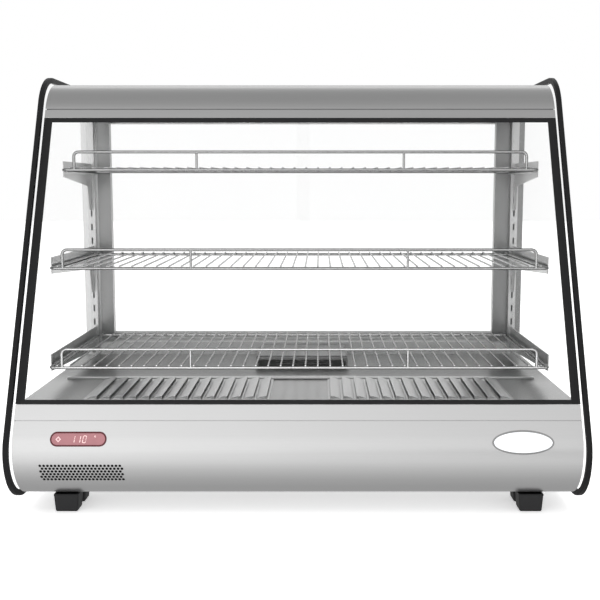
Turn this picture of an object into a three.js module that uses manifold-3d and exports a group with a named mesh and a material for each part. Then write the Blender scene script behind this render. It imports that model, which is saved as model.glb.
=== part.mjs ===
// Countertop hot food display case: slanted front glass, glass side panels with black edging,
// three wire shelves on hook-in brackets, warm-air deck with two louvred plates, a fan and heaters
// under it, and two sliding glass doors at the rear.
// Millimetres, +Z up, front towards -Y, origin on the ground at the middle of the case.

import * as THREE from 'three';
import { mergeVertices } from 'three/addons/utils/BufferGeometryUtils.js';
import Module from 'manifold-3d';

const wasm = await Module();
wasm.setup();

// Overall size
const caseWidth = 874;
const caseDepth = 568;
const caseHeight = 694;
const groundClearance = 29;

// Side profile: a round belly, a straight slant, a round shoulder and a flat top
const slantAngle = THREE.MathUtils.degToRad(24.9);
const bellyHeight = 109;
const bellyUpperRadius = 62;
const shoulderRadius = 80;
const rearCornerRadius = 12;

// Side panels: clear glass held in a black edge trim
const sideGlassThickness = 6;
const trimWidth = 8;
const trimReach = 9;
const trimWeb = 3;

// Gap that is kept between pieces that touch
const seatGap = 0.3;

// Steel body between the side panels
const sheetGauge = 1.5;
const frontSetback = 18;
const topDrop = 11;
const rearSetback = 8;
const seamStripHeight = 23.3;
const seamGap = 1;

// Front glass
const glassDeckRise = 2.3;
const glassTopDrop = 72.7;
const glassThickness = 5;
const canopyStripHeight = 15.1;
const ceilingDrop = 40;
const ceilingFrontGap = 10;
const canopyEndDepth = 356;

// Deck, sill and rear frame
const deckHeight = 177;
const deckFrontGap = 7.8;
const sillRise = 25;
const sillDepth = 73;
const postFaceWidth = 54;
const postReturn = 23;
const riserLap = 10;
const postStep = 6;
const postStepWidth = 26;

// Slotted standards and the brackets that hook into them
const standardWidth = 14;
const standardDepth = 8;
const standardInset = 12;
const slotPitch = 26.5;
const slotWidth = 3;
const slotHeight = 12;
const bracketGauge = 2;
const bracketRise = 15.5;
const bracketTipDrop = 12;
const bracketRootDrop = 27;
const bracketTailDrop = 73;
const bracketTailWidth = 27;
const bracketTailTip = 14;
const bracketTipSetback = 26;
const bracketDeckGap = 6;
const ledgeWidth = 12;
const ledgeRearGap = 2;
const hookReach = 5;
const hookBite = 4;
const hookSlack = 1;
const hookRoot = 1;

// Wire shelves
const bottomShelfRise = 15;
const shelfSpacing = 159;
const frameWire = 5;
const crossWire = 3;
const crossPitch = 20;
const guardHeight = 30;
const guardInset = 22;
const guardCorner = 13;
const guardPostSpread = 350;
const guardPostWire = 4;
const cornerCut = 0.3;
const wireSides = 6;
const shelfSideGap = 4.5;
const shelfRearGap = 4;
const wireBite = 0.6;

// Louvred plates over the heaters
const louvreSideGap = 85;
const louvrePitch = 20.4;
const louvreRise = 5;
const louvreStart = 50;
const louvreDeckMargin = 29;
const louvreLength = 156;
const louvreEnd = 9;
const louvreRim = 4;
const louvreMouth = 15;
const louvreGauge = 1.2;

// Warm-air parts under the deck
const windowWidth = 54;
const windowRib = 14;
const windowMargin = 12;
const plenumDepth = 62;
const heaterRodDiameter = 8;
const heaterSides = 8;
const heaterPitch = 36;
const heaterRuns = 4;
const plenumMargin = 8;
const plenumRearGap = 4;
const fanSize = 119;
const fanDepth = 38;
const fanBore = 112;
const fanRunningGap = 2.5;
const fanHub = 44;
const bladeCount = 7;
const bladeChord = 24;
const bladeGauge = 1.6;
const bladePitch = THREE.MathUtils.degToRad(32);
const fanStrut = 4;
const fanStrutBite = 1;
const fanSides = 24;
const fanSlotCount = 5;
const fanSlotPitch = 19;
const fanSlotWidth = 12;
const fanSlotLength = 100;
const hoodWidth = 166;
const hoodMouth = 12;
const hoodDepth = 131;
const fanSetback = 68.5;
const hoodRise = 8;

// Rear doors and their tracks
const doorThickness = 5;
const doorOverlap = 26;
const doorEdgeMargin = 6;
const trackLip = 2;
const trackGroove = 8;
const trackWeb = 8;
const trackFloor = 2;
const trackDepth = 12;
const trackSetback = 13;
const doorFloat = 0.5;
const pullWidth = 16;
const pullHeight = 110;
const pullThickness = 7;
const pullMargin = 14;

// Lamp under the ceiling
const lampEndGap = 78.7;
const lampWidth = 34;
const lampDepth = 10;
const lensDepth = 3;
const lampInset = 62;

// Temperature window and badge on the front panel
const displayWidth = 85;
const displayHeight = 21;
const displayInset = 99.7;
const displayLevel = 131;
const displayThickness = 0.8;
const readoutWidth = 62;
const readoutHeight = 13;
const displayBoardSetback = 12;
const displayBoardThickness = 1.6;
const badgeWidth = 93;
const badgeHeight = 35;
const badgeInset = 90.7;
const badgeLevel = 126;
const badgeThickness = 1.2;

// Rear control plate, switches, buttons and cord gland
const controlWidth = 190;
const controlHeight = 64;
const controlThickness = 2.4;
const controlRebate = 8;
const controlInset = 178.7;
const controlLevel = 118;
const rockerWidth = 20;
const rockerHeight = 26;
const rockerDepth = 14;
const rockerProud = 3.4;
const rockerFaceLift = 3.9;
const rockerFaceHalf = 11.7;
const rockerEndDrop = 1.95;
const rockerEndHalf = 12.6;
const rockerBackHalf = 7.8;
const rockerTilt = THREE.MathUtils.degToRad(8);
const rockerGap = 0.8;
const rockerSpacing = 30;
const buttonDiameter = 10;
const buttonDepth = 8;
const buttonProud = 2.6;
const buttonSpacing = 20;
const buttonGap = 0.4;
const glandDiameter = 22;
const glandFlange = 27;
const glandBore = 9;
const glandInset = 128.7;
const glandLevel = 80;
const glandFlangeThickness = 2.5;
const glandDepth = 16;

// Feet
const footWidth = 39;
const footPadLength = 33;
const footPadGap = 13;
const footInset = 53;
const footFront = 72;
const footRearMargin = 48;
const footTaper = 3;
const footChamfer = 4;
const footFlange = 3;
const footFlangeInset = 1;

// Places that follow from the sizes above
const frontEdge = -caseDepth / 2;
const rearEdge = caseDepth / 2;
const bodyFront = frontEdge + frontSetback;
const bodyRear = rearEdge - rearSetback;
const bodyHalf = caseWidth / 2 - trimWidth - seatGap;
const liningHalf = bodyHalf - sheetGauge - seatGap;
const sillHeight = deckHeight + sillRise;
const glassBottom = deckHeight + glassDeckRise;
const seamHeight = glassBottom - seamStripHeight;
const glassTop = caseHeight - glassTopDrop;
const canopySeam = glassTop + canopyStripHeight;
const ceilingHeight = caseHeight - ceilingDrop;
const sillFront = bodyRear - sillDepth;
const standardFace = sillFront - standardDepth;
const standardCentre = bodyHalf - standardInset - standardWidth / 2;
const bracketPlane = standardCentre;
const shelfHalf = bracketPlane - bracketGauge / 2 - shelfSideGap;
const shelfBack = standardFace - shelfRearGap;
const postInner = bodyHalf - postFaceWidth;
const postTop = ceilingHeight - seatGap;
const displayCentre = displayInset - bodyHalf;
const badgeCentre = bodyHalf - badgeInset;
const controlCentre = bodyHalf - controlInset;
const glandCentre = glandInset - bodyHalf;

// The wire shelves from the lowest up: height of the frame wire, and how far the front wire stands
// behind the front line at that height
const shelves = [
  { name: 'bottom', setback: 77.2 },
  { name: 'middle', setback: 24.4 },
  { name: 'top', setback: 42.6 },
].map(({ name, setback }, index) => {
  const level = sillHeight + bottomShelfRise + index * shelfSpacing;
  return { name, level, front: slantY(level, frontSetback) + setback };
});

const arcSteps = 8;
const shortArcSteps = 4;
const roundSides = 16;
const mergeTolerance = 1e-4;
const cutMargin = 20;

// Finishes
const steelLook = { color: 0xc9cacb, roughness: 0.34, metalness: 0.9 };
const brightLook = { color: 0xd8d9da, roughness: 0.22, metalness: 0.95 };
const trackLook = { color: 0xb8b9ba, roughness: 0.4, metalness: 0.8 };
const endLook = { color: 0x6d6e70, roughness: 0.5, metalness: 0.6 };
const darkLook = { color: 0x2a2a2b, roughness: 0.6, metalness: 0 };
const trimLook = { color: 0x1c1c1d, roughness: 0.55, metalness: 0 };
const footLook = { color: 0x1b1b1c, roughness: 0.75, metalness: 0 };
const glassLook = { color: 0xe8efec, roughness: 0.05, metalness: 0, transparent: true, opacity: 0.22 };
const windowLook = { color: 0xa9494f, roughness: 0.25, metalness: 0 };
const badgeLook = { color: 0xd9dde0, roughness: 0.3, metalness: 0.5 };

const display = new THREE.Group();

// ---- Solids -------------------------------------------------------------------------------

function toSolid(geometry) {
  const bare = geometry.clone();
  bare.deleteAttribute('normal');
  bare.deleteAttribute('uv');
  const merged = mergeVertices(bare, mergeTolerance);
  const mesh = new wasm.Mesh({
    numProp: 3,
    vertProperties: Float32Array.from(merged.attributes.position.array),
    triVerts: Uint32Array.from(merged.index.array),
  });
  return new wasm.Manifold(mesh);
}

function toGeometry(solid) {
  const mesh = solid.getMesh();
  const geometry = new THREE.BufferGeometry();
  geometry.setAttribute('position', new THREE.BufferAttribute(Float32Array.from(mesh.vertProperties), 3));
  geometry.setIndex(Array.from(mesh.triVerts));
  geometry.computeVertexNormals();
  return geometry;
}

function addPart(name, solid, look, place = new THREE.Matrix4()) {
  const material = new THREE.MeshStandardMaterial(look);
  const mesh = new THREE.Mesh(toGeometry(solid), material);
  mesh.name = name;
  mesh.applyMatrix4(place);
  display.add(mesh);
  return mesh;
}

function union(solids) {
  return solids.reduce((whole, next) => whole.add(next));
}

// A block between two corners
function block(x0, x1, y0, y1, z0, z1) {
  const geometry = new THREE.BoxGeometry(x1 - x0, y1 - y0, z1 - z0);
  geometry.translate((x0 + x1) / 2, (y0 + y1) / 2, (z0 + z1) / 2);
  return toSolid(geometry);
}

function shapeOf(points) {
  return new THREE.Shape(points.map(([u, v]) => new THREE.Vector2(u, v)));
}

function extruded(points, depth) {
  return new THREE.ExtrudeGeometry(shapeOf(points), { depth, bevelEnabled: false, steps: 1 });
}

// An outline in the side view, (y, z), carried across from x0 to x1
function acrossX(points, x0, x1) {
  const geometry = extruded(points, x1 - x0);
  const axes = new THREE.Matrix4().makeBasis(
    new THREE.Vector3(0, 1, 0), new THREE.Vector3(0, 0, 1), new THREE.Vector3(1, 0, 0));
  geometry.applyMatrix4(axes);
  geometry.translate(x0, 0, 0);
  return toSolid(geometry);
}

// An outline in the front view, (x, z), carried back from y0 to y1
function alongY(points, y0, y1) {
  const geometry = extruded(points, y1 - y0);
  geometry.rotateX(Math.PI / 2);
  geometry.translate(0, y1, 0);
  return toSolid(geometry);
}

// An outline in plan, (x, y), carried up from z0 to z1
function upZ(points, z0, z1) {
  const geometry = extruded(points, z1 - z0);
  geometry.translate(0, 0, z0);
  return toSolid(geometry);
}

// A round bar between two points, carried past both by overrun
function bar(from, to, diameter, facets = roundSides, overrun = 0) {
  const start = new THREE.Vector3(...from);
  const end = new THREE.Vector3(...to);
  const along = end.clone().sub(start);
  const length = along.length() + 2 * overrun;
  const geometry = new THREE.CylinderGeometry(diameter / 2, diameter / 2, length, facets);
  const upright = new THREE.Vector3(0, 1, 0);
  const turn = new THREE.Quaternion().setFromUnitVectors(upright, along.clone().normalize());
  geometry.applyQuaternion(turn);
  geometry.translate(...start.add(end).multiplyScalar(0.5).toArray());
  return toSolid(geometry);
}

// A bent wire: straight runs between its corner points, each a little past its ends
function bentWire(corners, diameter, facets) {
  const runs = corners.slice(1).map((corner, index) =>
    bar(corners[index], corner, diameter, facets, diameter / 4));
  return union(runs);
}

// The mirror image of an outline across X = 0, kept anticlockwise
function mirrored(points) {
  return points.map(([u, v]) => [-u, v]).reverse();
}

function sided(points, side) {
  return side > 0 ? points : mirrored(points);
}

// A block on the left (-1) or the right (+1), given by its distances from the middle
function sideBlock(side, inner, outer, y0, y1, z0, z1) {
  const x0 = side > 0 ? inner : -outer;
  return block(x0, x0 + outer - inner, y0, y1, z0, z1);
}

const sides = [
  { name: 'left', sign: -1 },
  { name: 'right', sign: 1 },
];

// ---- Side profile -------------------------------------------------------------------------

function arc(centreU, centreV, radius, from, to, steps = arcSteps) {
  return Array.from({ length: steps + 1 }, (_, step) => {
    const angle = from + ((to - from) * step) / steps;
    return [centreU + radius * Math.cos(angle), centreV + radius * Math.sin(angle)];
  });
}

// The front line's Y at height z on the straight slant
function slantY(z, setback) {
  const startY = frontEdge + setback + bellyUpperRadius * (1 - Math.cos(slantAngle));
  const startZ = bellyHeight + bellyUpperRadius * Math.sin(slantAngle);
  return startY + (z - startZ) * Math.tan(slantAngle);
}

// The whole side profile, anticlockwise in (y, z) when turned about, moved back by setback,
// lowered by drop, brought in by rear at the back and shrunk all round by inset
function caseOutline({ setback = 0, drop = 0, rear = 0, inset = 0 }) {
  const front = frontEdge + setback;
  const lowerRadius = bellyHeight - groundClearance;
  const shoulderZ = caseHeight - drop - shoulderRadius;
  const shoulderY = slantY(shoulderZ, setback) + shoulderRadius / Math.cos(slantAngle);
  const cornerY = rearEdge - rear - rearCornerRadius;
  const cornerTop = caseHeight - drop - rearCornerRadius;
  const cornerBottom = groundClearance + rearCornerRadius;
  const corner = rearCornerRadius - inset;
  const shoulderStart = Math.PI - slantAngle;
  const outline = [
    ...arc(front + lowerRadius, bellyHeight, lowerRadius - inset, 1.5 * Math.PI, Math.PI),
    ...arc(front + bellyUpperRadius, bellyHeight, bellyUpperRadius - inset, Math.PI, shoulderStart,
      shortArcSteps).slice(1),
    ...arc(shoulderY, shoulderZ, shoulderRadius - inset, shoulderStart, Math.PI / 2),
    ...arc(cornerY, cornerTop, corner, Math.PI / 2, 0, shortArcSteps),
    ...arc(cornerY, cornerBottom, corner, 0, -Math.PI / 2, shortArcSteps),
  ];
  return outline.reverse();
}

function bodyOutline(inset = 0) {
  return caseOutline({ setback: frontSetback, drop: topDrop, rear: rearSetback, inset });
}

// A bar of sheet or glass lying on the slant, from height z0 to z1, outer face on the front line
function slantBar(z0, z1, thickness, half) {
  const inY = thickness * Math.cos(slantAngle);
  const inZ = -thickness * Math.sin(slantAngle);
  const low = [slantY(z0, frontSetback), z0];
  const high = [slantY(z1, frontSetback), z1];
  const points = [low, [low[0] + inY, low[1] + inZ], [high[0] + inY, high[1] + inZ], high];
  return acrossX(points, -half, half);
}

// ---- Side panels --------------------------------------------------------------------------

function addSidePanels() {
  for (const { name, sign } of sides) {
    const outer = caseWidth / 2;
    const inner = outer - trimWidth;
    const from = Math.min(sign * inner, sign * outer);
    const lip = (trimWidth - sideGlassThickness) / 2 - seatGap;
    const to = from + trimWidth;
    const rim = acrossX(caseOutline({}), from, to);
    const opening = acrossX(caseOutline({ inset: trimReach }), from - cutMargin, to + cutMargin);
    const groove = acrossX(caseOutline({ inset: trimWeb }), from + lip, to - lip);
    addPart(`edge_trim_${name}`, rim.subtract(opening).subtract(groove), trimLook);
    const seat = caseOutline({ inset: trimWeb + seatGap });
    const glass = acrossX(seat, from + lip + seatGap, to - lip - seatGap);
    addPart(`side_glass_${name}`, glass, glassLook);
  }
}

// ---- Steel body ---------------------------------------------------------------------------

function bodySkin() {
  const outside = acrossX(bodyOutline(), -bodyHalf, bodyHalf);
  const inside = acrossX(bodyOutline(sheetGauge), -bodyHalf - cutMargin, bodyHalf + cutMargin);
  return outside.subtract(inside);
}

const bellyTangent = bodyFront + bellyHeight - groundClearance;

function addLowerBody() {
  const skin = bodySkin();
  const frontZone = block(-caseWidth, caseWidth, frontEdge, bellyTangent, 0, seamHeight);
  const readout = block(displayCentre - readoutWidth / 2, displayCentre + readoutWidth / 2, frontEdge,
    bodyFront + cutMargin, displayLevel - readoutHeight / 2, displayLevel + readoutHeight / 2);
  addPart('front_panel', skin.intersect(frontZone).subtract(readout), steelLook);

  const strip = slantBar(seamHeight + seamGap, glassBottom - seatGap, sheetGauge, bodyHalf);
  addPart('front_top_strip', strip, steelLook);

  const plate = block(-bodyHalf, bodyHalf, bellyTangent + seatGap, bodyRear, groundClearance,
    groundClearance + sheetGauge);
  addPart('base_plate', plate, steelLook);

  const lowZ = groundClearance + sheetGauge + seatGap;
  const sidePlate = bodyOutline(sheetGauge + seatGap);
  const deckUnder = deckHeight - sheetGauge - seatGap;
  const rearFrom = bodyRear - sheetGauge - seatGap;
  for (const { name, sign } of sides) {
    const x0 = sign > 0 ? bodyHalf - sheetGauge : -bodyHalf;
    const full = acrossX(sidePlate, x0, x0 + sheetGauge);
    const low = block(x0 - cutMargin, x0 + cutMargin, frontEdge, rearFrom, lowZ, deckUnder);
    const rear = block(x0 - cutMargin, x0 + cutMargin, sillFront, rearFrom, lowZ, sillHeight);
    addPart(`base_side_${name}`, full.intersect(low.add(rear)), steelLook);
  }
}

// One folded sheet: the rear wall, the sill over it and the riser down to the deck
function addRearPanel() {
  const under = groundClearance + sheetGauge + seatGap;
  const foot = deckHeight - riserLap;
  const points = [
    [bodyRear, under],
    [bodyRear, sillHeight],
    [sillFront, sillHeight],
    [sillFront, foot],
    [sillFront + sheetGauge, foot],
    [sillFront + sheetGauge, sillHeight - sheetGauge],
    [bodyRear - sheetGauge, sillHeight - sheetGauge],
    [bodyRear - sheetGauge, under],
  ];
  const sheet = acrossX(points, -liningHalf, liningHalf);
  const halfWide = controlWidth / 2 - controlRebate;
  const halfHigh = controlHeight / 2 - controlRebate;
  const cuts = [
    block(controlCentre - halfWide, controlCentre + halfWide, bodyRear - cutMargin, rearEdge,
      controlLevel - halfHigh, controlLevel + halfHigh),
    bar([glandCentre, bodyRear - cutMargin, glandLevel], [glandCentre, rearEdge, glandLevel],
      glandDiameter + 2 * seatGap),
  ];
  addPart('rear_panel', cuts.reduce((panel, cut) => panel.subtract(cut), sheet), steelLook);
}

// ---- Canopy -------------------------------------------------------------------------------

function addCanopy() {
  const seam = canopySeam + seamGap / 2;
  const shellZone = block(-caseWidth, caseWidth, frontEdge, rearEdge, seam, caseHeight);
  const shell = bodySkin().intersect(shellZone);
  addPart('canopy_shell', shell, steelLook);

  const strip = slantBar(glassTop + seatGap, canopySeam - seamGap / 2 - seatGap, sheetGauge, bodyHalf);
  addPart('canopy_strip', strip, steelLook);

  const inner = bodyOutline(sheetGauge + seatGap);
  for (const { name, sign } of sides) {
    const x0 = sign > 0 ? bodyHalf - sheetGauge : -bodyHalf;
    const x1 = x0 + sheetGauge;
    const overCeiling = ceilingHeight + sheetGauge + seatGap;
    const upper = block(x0, x1, frontEdge, rearEdge, overCeiling, caseHeight);
    const lowest = canopySeam + seamGap;
    const front = block(x0, x1, frontEdge, frontEdge + canopyEndDepth, lowest, caseHeight);
    const end = acrossX(inner, x0, x1).intersect(upper.add(front));
    addPart(`canopy_end_${name}`, end, endLook);
  }

  const ceilingFront = slantY(ceilingHeight, frontSetback) + ceilingFrontGap;
  const ceiling = block(-liningHalf, liningHalf, ceilingFront, bodyRear - sheetGauge - seatGap, ceilingHeight,
    ceilingHeight + sheetGauge);
  addPart('ceiling_panel', ceiling, steelLook);
}

function addFrontGlass() {
  const glass = slantBar(glassBottom, glassTop, glassThickness, bodyHalf);
  addPart('front_glass', glass, glassLook);
}

// ---- Rear frame ---------------------------------------------------------------------------

function addRearPosts() {
  const back = bodyRear - sheetGauge - seatGap;
  const g = sheetGauge;
  const stepX = bodyHalf - postStepWidth;
  const outline = [
    [bodyHalf, sillFront],
    [bodyHalf, back],
    [bodyHalf - g, back],
    [bodyHalf - g, sillFront + g],
    [stepX + g, sillFront + g],
    [stepX + g, sillFront + postStep + g],
    [postInner + g, sillFront + postStep + g],
    [postInner + g, sillFront + postReturn],
    [postInner, sillFront + postReturn],
    [postInner, sillFront + postStep],
    [stepX, sillFront + postStep],
    [stepX, sillFront],
  ];
  for (const { name, sign } of sides) {
    const post = upZ(sided(outline, sign), sillHeight + seatGap, postTop);
    addPart(`rear_post_${name}`, post, steelLook);
  }
}

function addStandards() {
  const g = sheetGauge;
  const half = standardWidth / 2;
  const top = postTop - standardDepth;
  const bottom = deckHeight + seatGap;
  for (const { name, sign } of sides) {
    const x = standardCentre;
    const outline = [
      [x - half, standardFace],
      [x + half, standardFace],
      [x + half, sillFront - seatGap],
      [x + half - g, sillFront - seatGap],
      [x + half - g, standardFace + g],
      [x - half + g, standardFace + g],
      [x - half + g, sillFront - seatGap],
      [x - half, sillFront - seatGap],
    ];
    const channel = upZ(sided(outline, sign), bottom, top);
    const slots = standardSlots().map((z) => sideBlock(sign, x - slotWidth / 2, x + slotWidth / 2,
      standardFace - cutMargin, standardFace + g, z - slotHeight / 2, z + slotHeight / 2));
    const slotted = slots.reduce((whole, slot) => whole.subtract(slot), channel);
    addPart(`shelf_standard_${name}`, slotted, brightLook);
  }
}

// Two hooks for each bracket, one slot pitch apart, and the slots that take them
function hookLevels(level) {
  return [level - bracketRootDrop / 2 + slotPitch / 2, level - bracketRootDrop / 2 - slotPitch / 2];
}

function standardSlots() {
  const used = shelves.flatMap((shelf) => hookLevels(shelf.level));
  const free = shelves.slice(1).map((shelf, index) => {
    const low = Math.max(...hookLevels(shelves[index].level)) + slotPitch;
    const high = Math.min(...hookLevels(shelf.level)) - slotPitch / 2;
    const count = Math.max(0, Math.floor((high - low) / slotPitch) + 1);
    return Array.from({ length: count }, (_, step) => low + step * slotPitch);
  });
  return [...used, ...free.flat()];
}

// ---- Shelves ------------------------------------------------------------------------------

function addBrackets() {
  const rear = standardFace - seatGap;
  for (const { name: level, level: z, front } of shelves) {
    const tip = front + bracketTipSetback;
    const tail = Math.min(bracketTailDrop, z - deckHeight - bracketDeckGap);
    const plate = [
      [tip, z - bracketTipDrop],
      [rear - bracketTailWidth, z - bracketRootDrop],
      [rear - bracketTailTip, z - tail],
      [rear, z - tail],
      [rear, z + bracketRise],
      [tip, z + bracketRise],
    ];
    for (const { name, sign } of sides) {
      const x0 = sign * bracketPlane - bracketGauge / 2;
      const ledgeTop = z - frameWire / 2 - seatGap;
      const hooks = hookLevels(z).map((hookZ) => {
        const hookTop = hookZ + slotHeight / 2 - hookSlack;
        const end = rear + hookReach;
        const neck = block(x0, x0 + bracketGauge, rear - hookRoot, end, hookZ, hookTop);
        const drop = block(x0, x0 + bracketGauge, end - bracketGauge, end, hookZ - hookBite, hookTop);
        return neck.add(drop);
      });
      const ledge = sideBlock(sign, bracketPlane - bracketGauge / 2 - ledgeWidth, bracketPlane,
        tip, rear - ledgeRearGap, ledgeTop - sheetGauge, ledgeTop);
      const bracket = union([acrossX(plate, x0, x0 + bracketGauge), ledge, ...hooks]);
      addPart(`bracket_${level}_${name}`, bracket, steelLook);
    }
  }
}

// Frame ring, cross wires laid over it and a guard rail along the front
function wireShelf({ level, front }) {
  const w = frameWire / 2;
  const y0 = front;
  const y1 = shelfBack;
  const inside = shelfHalf - frameWire;
  const hole = block(-inside, inside, y0 + w, y1 - w, level - frameWire, level + frameWire);
  const ring = block(-shelfHalf, shelfHalf, y0 - w, y1 + w, level - w, level + w).subtract(hole);
  const count = Math.floor((2 * inside - crossWire) / crossPitch);
  const crossZ = level + w - wireBite;
  const wires = Array.from({ length: count + 1 }, (_, index) => {
    const x = (index - count / 2) * crossPitch;
    return block(x - crossWire / 2, x + crossWire / 2, y0 - w / 2, y1 + w / 2, crossZ, crossZ + crossWire);
  });
  return union([ring, ...wires, guardRail(level, y0)]);
}

// The guard rail: a wire bent down at both ends, with two posts between
function guardRail(level, y) {
  const half = shelfHalf - guardInset;
  const top = level + guardHeight;
  const corners = [
    [-half, y, level],
    [-half, y, top - guardCorner],
    [-half + guardCorner * cornerCut, y, top - guardCorner * cornerCut],
    [-half + guardCorner, y, top],
    [half - guardCorner, y, top],
    [half - guardCorner * cornerCut, y, top - guardCorner * cornerCut],
    [half, y, top - guardCorner],
    [half, y, level],
  ];
  const posts = [-guardPostSpread / 2, guardPostSpread / 2].map((x) =>
    bar([x, y, level], [x, y, top], guardPostWire, wireSides));
  return union([bentWire(corners, frameWire, wireSides), ...posts]);
}

function addShelves() {
  for (const shelf of shelves) {
    addPart(`wire_shelf_${shelf.name}`, wireShelf(shelf), brightLook);
  }
}

// ---- Deck and warm-air parts ----------------------------------------------------------------

const louvreCount = Math.floor((bodyHalf - louvreStart - louvreSideGap) / louvrePitch);
const louvreSpan = louvreCount * louvrePitch;
const deckFront = slantY(deckHeight, frontSetback) + deckFrontGap;
const louvreFront = deckFront + louvreDeckMargin;
const deckUnder = deckHeight - sheetGauge - seatGap;
const fanCentre = sillFront - fanSetback;

function deckWindows() {
  const room = louvreSpan - 2 * windowMargin + windowRib;
  const count = Math.floor(room / (windowWidth + windowRib));
  const y0 = louvreFront + windowMargin;
  const y1 = louvreFront + louvreLength - windowMargin;
  return sides.flatMap(({ sign }) => Array.from({ length: count }, (_, index) => {
    const inner = louvreStart + windowMargin + index * (windowWidth + windowRib);
    const outer = inner + windowWidth;
    return sideBlock(sign, inner, outer, y0, y1, deckHeight - cutMargin, deckHeight + cutMargin);
  }));
}

// Return-air slots over the fan
function fanSlots() {
  return Array.from({ length: fanSlotCount }, (_, index) => {
    const y = fanCentre + (index - (fanSlotCount - 1) / 2) * fanSlotPitch;
    return block(-fanSlotLength / 2, fanSlotLength / 2, y - fanSlotWidth / 2, y + fanSlotWidth / 2,
      deckHeight - cutMargin, deckHeight + cutMargin);
  });
}

function addDeck() {
  const sheet = block(-bodyHalf, bodyHalf, deckFront, sillFront - seatGap,
    deckHeight - sheetGauge, deckHeight);
  const cuts = [...deckWindows(), ...fanSlots()];
  addPart('deck_pan', cuts.reduce((deck, cut) => deck.subtract(cut), sheet), steelLook);
}

// A flat plate with raised fins over slots; the open edge of every fin faces the middle
function addLouvrePlates() {
  const low = deckHeight + seatGap;
  const base = low + louvreGauge;
  const y0 = louvreFront;
  const y1 = y0 + louvreLength;
  const first = louvreStart - louvreRim;
  const last = louvreStart + louvreSpan;
  for (const { name, sign } of sides) {
    const x0 = sign > 0 ? first : -last;
    const sheet = block(x0, x0 + last - first, y0, y1, low, base);
    const indexes = Array.from({ length: louvreCount }, (_, index) => index);
    const slots = indexes.map((index) => {
      const x = louvreStart + index * louvrePitch;
      return sideBlock(sign, x, x + louvreMouth, y0 + louvreEnd, y1 - louvreEnd, low, base);
    });
    const fins = indexes.map((index) => {
      const x = louvreStart + index * louvrePitch;
      const fin = [
        [x, base + louvreRise],
        [x, base + louvreRise - louvreGauge],
        [x + louvreMouth, base - louvreGauge / 2],
        [x + louvreMouth + 2 * louvreGauge, base - louvreGauge / 2],
      ];
      return alongY(sided(fin, sign), y0 + louvreEnd / 2, y1 - louvreEnd / 2);
    });
    const slotted = slots.reduce((plate, slot) => plate.subtract(slot), sheet);
    addPart(`louvre_plate_${name}`, union([slotted, ...fins]), brightLook);
  }
}

// Return-air hood over the fan, open below and towards the front
function addHood() {
  const y0 = sillFront - hoodDepth;
  const y1 = sillFront - seatGap;
  const low = deckHeight + seatGap;
  const g = sheetGauge;
  const outer = [
    [y0, low],
    [y1, low],
    [y1, low + hoodMouth + hoodRise],
    [y0, low + hoodMouth + g],
  ];
  const inner = [
    [y0 - cutMargin, low - cutMargin],
    [y1 - g, low - cutMargin],
    [y1 - g, low + hoodMouth + hoodRise - g],
    [y0, low + hoodMouth],
    [y0 - cutMargin, low + hoodMouth],
  ];
  const half = hoodWidth / 2;
  const hood = acrossX(outer, -half - g, half + g).subtract(acrossX(inner, -half, half));
  addPart('fan_hood', hood, steelLook);
}

function addPlenum() {
  const half = louvreStart + louvreSpan + plenumMargin;
  const y0 = louvreFront - plenumMargin;
  const y1 = sillFront - plenumRearGap;
  const g = sheetGauge;
  const floor = deckUnder - plenumDepth;
  const pan = block(-half, half, y0, y1, floor, deckUnder)
    .subtract(block(-half + g, half - g, y0 + g, y1 - g, floor + g, deckUnder + cutMargin));
  addPart('plenum_pan', pan, steelLook);
}

// Tubular heater bent to and fro under each louvred plate
function addHeaters() {
  const z = deckUnder - plenumDepth / 2;
  const y0 = louvreFront + (louvreLength - (heaterRuns - 1) * heaterPitch) / 2;
  for (const { name, sign } of sides) {
    const inner = sign * (louvreStart + windowMargin);
    const outer = sign * (louvreStart + louvreSpan - windowMargin);
    const corners = Array.from({ length: heaterRuns }, (_, run) => {
      const y = y0 + run * heaterPitch;
      const ends = [[inner, y, z], [outer, y, z]];
      return run % 2 === 0 ? ends : ends.reverse();
    });
    addPart(`heater_${name}`, bentWire(corners.flat(), heaterRodDiameter, heaterSides),
      { color: 0x55504c, roughness: 0.6, metalness: 0.7 });
  }
}

function addFan() {
  const top = deckUnder - seatGap;
  const low = top - fanDepth;
  const half = fanSize / 2;
  const shell = block(-half, half, fanCentre - half, fanCentre + half, low, top)
    .subtract(bar([0, fanCentre, low - cutMargin], [0, fanCentre, top + cutMargin], fanBore, fanSides));
  const struts = [0, 1].map((turn) => {
    const reach = fanBore / 2 + fanStrutBite;
    const dx = turn === 0 ? reach : fanStrut / 2;
    const dy = turn === 0 ? fanStrut / 2 : reach;
    return block(-dx, dx, fanCentre - dy, fanCentre + dy, low, low + fanStrut);
  });
  const seat = bar([0, fanCentre, low], [0, fanCentre, low + fanStrut], fanHub, roundSides);
  addPart('fan_frame', union([shell, seat, ...struts]), darkLook);

  const rotorLow = low + fanStrut + fanRunningGap / 2;
  const rotorTop = top - fanRunningGap;
  const hub = bar([0, fanCentre, rotorLow], [0, fanCentre, rotorTop], fanHub, roundSides);
  const reach = fanBore / 2 - fanRunningGap;
  const blades = Array.from({ length: bladeCount }, (_, index) => {
    const geometry = new THREE.BoxGeometry(reach - fanHub / 4, bladeChord, bladeGauge);
    geometry.rotateX(bladePitch);
    geometry.translate((reach + fanHub / 4) / 2, 0, 0);
    geometry.rotateZ((2 * Math.PI * index) / bladeCount);
    geometry.translate(0, fanCentre, (rotorLow + rotorTop) / 2);
    return toSolid(geometry);
  });
  addPart('fan_rotor', union([hub, ...blades]), { color: 0x333435, roughness: 0.5, metalness: 0 });
}

// ---- Rear doors -----------------------------------------------------------------------------

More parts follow.
